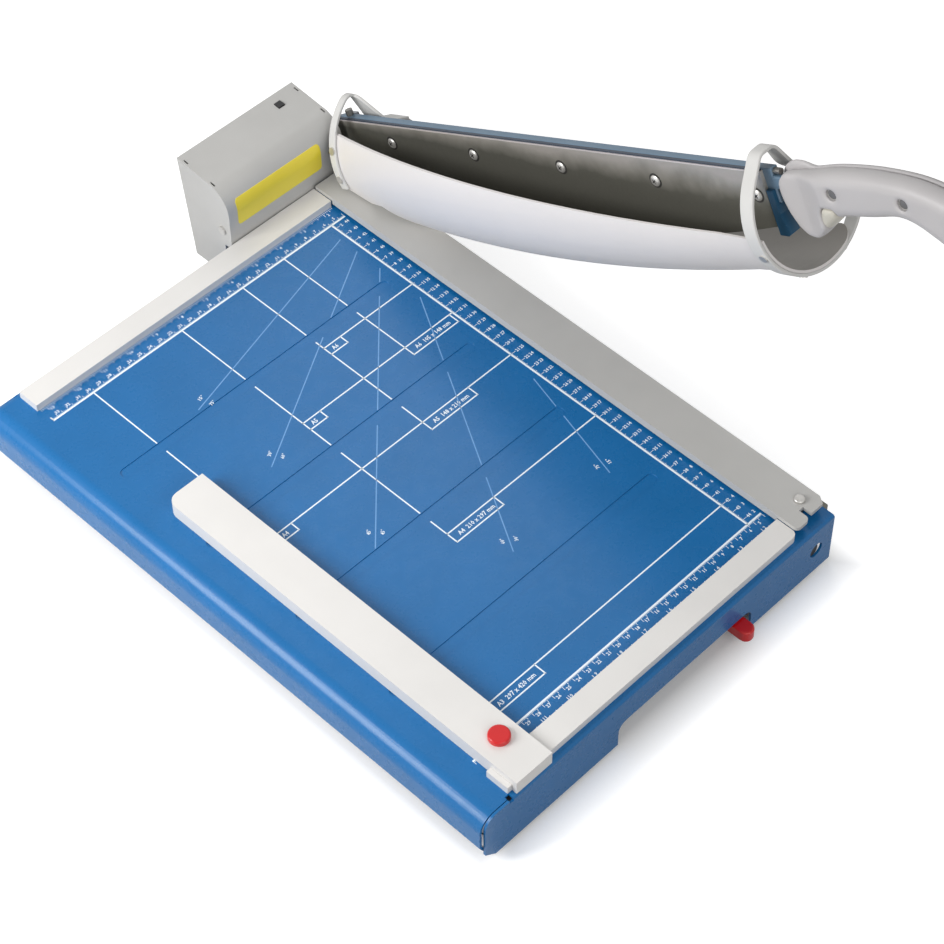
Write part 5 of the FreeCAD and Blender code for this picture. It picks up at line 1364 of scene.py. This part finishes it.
@dataclass
class GuardRing:
    """A strap round the guard's end: over the shell, up to a blunt top and down a wide leg to its hub.

    Lengths are in millimetres in the arm's frame and angles in degrees about the guard's axis. The strap
    lies on the shell from end to leave, at the radius seat. The corners are places across and up, each
    with its rounding. From its second corner on, the strap widens to leg_width over widening. It meets
    the hub at the angle foot, sunk into it.
    """

    name: str
    node: str
    rear: float
    width: float
    seat: float
    leave: float
    end: float
    corners: tuple[tuple[float, float, float], ...]
    leg_width: float
    hub_width: float
    wall: float = 2.5
    widening: float = 14.0
    foot: float = 60.0
    sunk: float = 1.5
    hub: float = 18.5
    bore: float = 5.3
    bevel: float = 0.5
    step: float = 4.0
    bend_steps: int = 6
    hub_flats: int = 40

    def polar(self, radius: float, angle: float) -> Vector:
        """Gives a place at a radius and angle about the guard's axis."""
        turn = math.radians(angle)
        return Vector((GUARD_AXIS[0] + radius * math.cos(turn), GUARD_AXIS[1] + radius * math.sin(turn)))

    def path(self) -> list[Vector]:
        """Draws the strap's inner line.

        Returns:
            Places across and up, from its end on the shell to its foot on the hub.
        """
        steps = int((self.end - self.leave) / self.step)
        line = [self.polar(self.seat, self.end + (self.leave - self.end) * i / steps) for i in range(steps + 1)]
        spots = [line[-1]] + [Vector(corner[:2]) for corner in self.corners]
        spots.append(self.polar(self.hub - self.sunk, self.foot))
        for before, here, after, corner in zip(spots, spots[1:], spots[2:], self.corners):
            start = here + (before - here).normalized() * corner[2]
            end = here + (after - here).normalized() * corner[2]
            for i in range(self.bend_steps + 1):
                t = i / self.bend_steps
                line.append(start * (1 - t) ** 2 + here * (2 * t * (1 - t)) + end * t**2)
        return line + [spots[-1]]

    def band(self, work: bmesh.types.BMesh) -> None:
        """Adds the strap itself, with broken edges.

        Args:
            work: the mesh that takes the faces.
        """
        line = self.path()
        turn_from = Vector(self.corners[1][:2])
        start = min(range(len(line)), key=lambda i: (line[i] - turn_from).length)
        gone, rings = 0.0, []
        for i, spot in enumerate(line):
            ahead, behind = line[min(i + 1, len(line) - 1)], line[max(i - 1, 0)]
            run = (ahead - behind).normalized()
            out = Vector((-run.y, run.x))
            if i > start:
                gone += (spot - line[i - 1]).length
            part = min(gone / self.widening, 1.0)
            low, high = self.rear, self.rear + self.width + (self.leg_width - self.width) * part
            c, w = self.bevel, self.wall
            outer = ((low + c, w), (high - c, w), (high, w - c), (high, c))
            inner = ((high - c, 0.0), (low + c, 0.0), (low, c), (low, w - c))
            rings.append([on_arm(reach, *(spot + out * rise)) for reach, rise in outer + inner])
        skin(work, rings)

    def boss(self, work: bmesh.types.BMesh) -> None:
        """Adds the hub, bored for its pin.

        Args:
            work: the mesh that takes the faces.
        """
        outline = ((self.hub, 0.0), (self.hub, self.hub_width), (self.bore, self.hub_width), (self.bore, 0.0))
        rings = []
        for radius, reach in outline:
            spots = [(GUARD_AXIS[0] + x, GUARD_AXIS[1] + y) for x, y in round_places(radius, self.hub_flats)]
            rings.append([on_arm(self.rear + reach, *spot) for spot in spots])
        skin(work, rings, looped=True)

    def build(self, material: bpy.types.Material) -> bpy.types.Object:
        """Moulds the ring in one piece, which stands for its CAD node.

        Args:
            material: its finish.

        Returns:
            The piece.
        """
        work = bmesh.new()
        self.band(work)
        self.boss(work)
        piece = add_piece(self.name, work, material, "guard")
        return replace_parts(piece, self.node)


RINGS = (
    GuardRing(
        name="front_ring_moulded",
        node="front_ring",
        rear=497.5,
        width=11.8,
        seat=51.35,
        leave=141.0,
        end=316.5,
        corners=((2.2, 37.6, 3.0), (14.5, 38.0, 4.0), (21.5, 20.0, 6.0)),
        leg_width=16.0,
        hub_width=11.5,
    ),
    GuardRing(
        name="rear_ring_moulded",
        node="rear_ring",
        rear=46.0,
        width=7.5,
        seat=57.15,
        leave=124.0,
        end=192.0,
        corners=((3.6, 41.4, 3.0), (9.8, 41.0, 4.0), (18.0, 12.5, 6.0)),
        leg_width=24.0,
        hub_width=15.0,
    ),
)


@dataclass
class SoftenedGrip:
    """The handle's mouldings with their edges run together as the mould leaves them.

    Lengths are in millimetres. The shape is rebuilt in cells one voxel wide and smoothed in passes, each
    with the share melt; then the counterbores, at places along the reach and up, are drilled again.
    """

    nodes: tuple[str, ...] = ("handle_left", "handle_right", "handle_tip")
    voxel: float = 1.1
    passes: int = 36
    melt: float = 0.5
    holes: tuple[tuple[float, float], ...] = ((569.5, 18.5), (631.0, 18.5))
    hole_radius: float = 4.4
    hole_depth: tuple[float, float] = (-12.0, -1.05)
    hole_flats: int = 40
    head: tuple[tuple[float, float], ...] = ((-0.9, 4.2), (-1.9, 4.2), (-2.6, 3.4), (-2.9, 0.4))

    def soften(self, node: bpy.types.Object, body: str) -> bpy.types.Object:
        """Melts the hard edges of one moulding.

        Args:
            node: the CAD node.
            body: the body that it rides on.

        Returns:
            The piece that stands for it.
        """
        raw = merged_copy(node)
        data = bpy.data.meshes.new(node.name + "_raw")
        raw.to_mesh(data)
        raw.free()
        holder = link_object(node.name + "_raw", data)
        remesh = holder.modifiers.new("cells", "REMESH")
        remesh.mode, remesh.voxel_size = "VOXEL", self.voxel * MM
        smooth = holder.modifiers.new("melt", "SMOOTH")
        smooth.factor, smooth.iterations = self.melt, self.passes
        drill = self.drill()
        bore = holder.modifiers.new("bore", "BOOLEAN")
        bore.operation, bore.object, bore.solver = "DIFFERENCE", drill, "EXACT"
        work = bmesh.new()
        work.from_mesh(shaped_mesh(holder))
        bpy.data.objects.remove(drill)
        piece = add_piece(node.name + "_soft", work, node.data.materials[0], body)
        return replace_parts(piece, node.name)

    def drill(self) -> bpy.types.Object:
        """Makes the drill that opens the screws' counterbores again.

        Returns:
            The drill, which is to be removed after use.
        """
        work = bmesh.new()
        for hole in self.holes:
            turn_on_arm(work, hole, [(across, self.hole_radius) for across in self.hole_depth], self.hole_flats)
        return link_object("drill", closed_mesh("drill", work))

    def screws(self) -> bpy.types.Object:
        """Makes the two screw heads that lie in the counterbores, darkened with painted shade of the bore.

        Returns:
            The piece.
        """
        work = bmesh.new()
        for hole in self.holes:
            turn_on_arm(work, hole, list(self.head))
        # Painted shade of the bore on the screw heads: dark and dull steel.
        finish = WorkedMetal("screw_painted_bore_shade", "#6d6c6c", "#5f5e5e", (0.4, 0.48), 0.8, 0.004, metal=0.3)
        return add_piece("handle_screw_heads", work, finish.make(), "arm")

    def build(self, nodes: dict[str, bpy.types.Object]) -> list[bpy.types.Object]:
        """Softens the whole grip.

        Args:
            nodes: the CAD nodes by name.

        Returns:
            The pieces.
        """
        return [self.soften(nodes[name], "arm") for name in self.nodes] + [self.screws()]


@dataclass
class HolePlug:
    """A black disc of painted shade behind the hole of the front flange, for the dark inside of the table.
    Lengths in millimetres.
    """

    centre: tuple[float, float] = (-26.0, -24.0)
    radius: float = 7.4
    reach: tuple[float, float] = (-483.35, -482.6)
    flats: int = 32

    def build(self) -> bpy.types.Object:
        """Makes the disc of painted shade.

        Returns:
            The piece.
        """
        work = bmesh.new()
        spots = [(self.centre[0] + x, self.centre[1] + z) for x, z in round_places(self.radius, self.flats)]
        skin(work, [[on_machine(x, y, z) for x, z in spots] for y in self.reach])
        return add_piece("flange_hole_painted_shade", work, FINISHES["black_plastic"].make(), "base")


@dataclass
class RolledTable:
    """The pressed table with its rear bend rolled over.

    Lengths are in millimetres. The bend is cut into strips both ways before it is rounded, and the flat
    faces keep their own shading past the turn sharp, in degrees.
    """

    radius: float = 8.4
    back: float = 28.0
    cuts: int = 4
    sharp: float = 14.0

    def build(self, node: bpy.types.Object) -> bpy.types.Object:
        """Rolls the rear edge of the table's pressing.

        Args:
            node: the table's CAD node.

        Returns:
            The piece that stands for it.
        """
        work = merged_copy(node)
        middle = on_machine(0.0, self.back - self.radius, -self.radius)
        reach = self.radius * MM
        for axis in ((0.0, 1.0, 0.0), (0.0, 0.0, 1.0)):
            for i in range(self.cuts):
                spot = middle + Vector(axis) * (reach * i / self.cuts)
                geometry = work.verts[:] + work.edges[:] + work.faces[:]
                bmesh.ops.bisect_plane(work, geom=geometry, plane_co=spot, plane_no=axis, dist=SAME_PLACE / 10)
        for vert in work.verts:
            u, v = (vert.co.y - middle.y) / reach, (vert.co.z - middle.z) / reach
            if min(u, v) > SAME_PLACE:
                share = max(u, v) / math.hypot(u, v)
                vert.co.y, vert.co.z = middle.y + u * share * reach, middle.z + v * share * reach
        name = node.name + "_rolled"
        flat = link_object(name, smooth_mesh(name, work, node.data.materials[0], math.radians(self.sharp)))
        flat.modifiers.new("even", "WEIGHTED_NORMAL").keep_sharp = True
        piece = ride_on(name, shaped_mesh(flat), "base")
        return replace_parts(piece, node.name)


def main() -> None:
    """Builds the studio and the machine's looks."""
    logging.basicConfig(level=logging.INFO, format="%(levelname)s %(message)s")
    bpy.ops.wm.read_factory_settings(use_empty=True)
    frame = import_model()
    Studio().build()
    Machine(frame["nodes"], frame["record"]).dress()
    for piece in PrintedTable().build():
        LOG.info("printed %s with %d faces", piece.name, len(piece.data.polygons))
    grip = SoftenedGrip(voxel=0.5, passes=16).soften(frame["nodes"]["lever_grip"], "clamp_lever")
    pieces = [grip] + BladeBack().build() + BladeScrews().build() + SoftenedGrip().build(frame["nodes"])
    ring = FINISHES["ring_grey"].make()
    pieces += [plan.build(ring) for plan in RINGS]
    pieces.append(HolePlug().build())
    pieces.append(RolledTable().build(frame["nodes"]["base_table"]))
    for piece in pieces:
        LOG.info("added %s with %d faces", piece.name, len(piece.data.polygons))


if __name__ == "__main__":
    main()
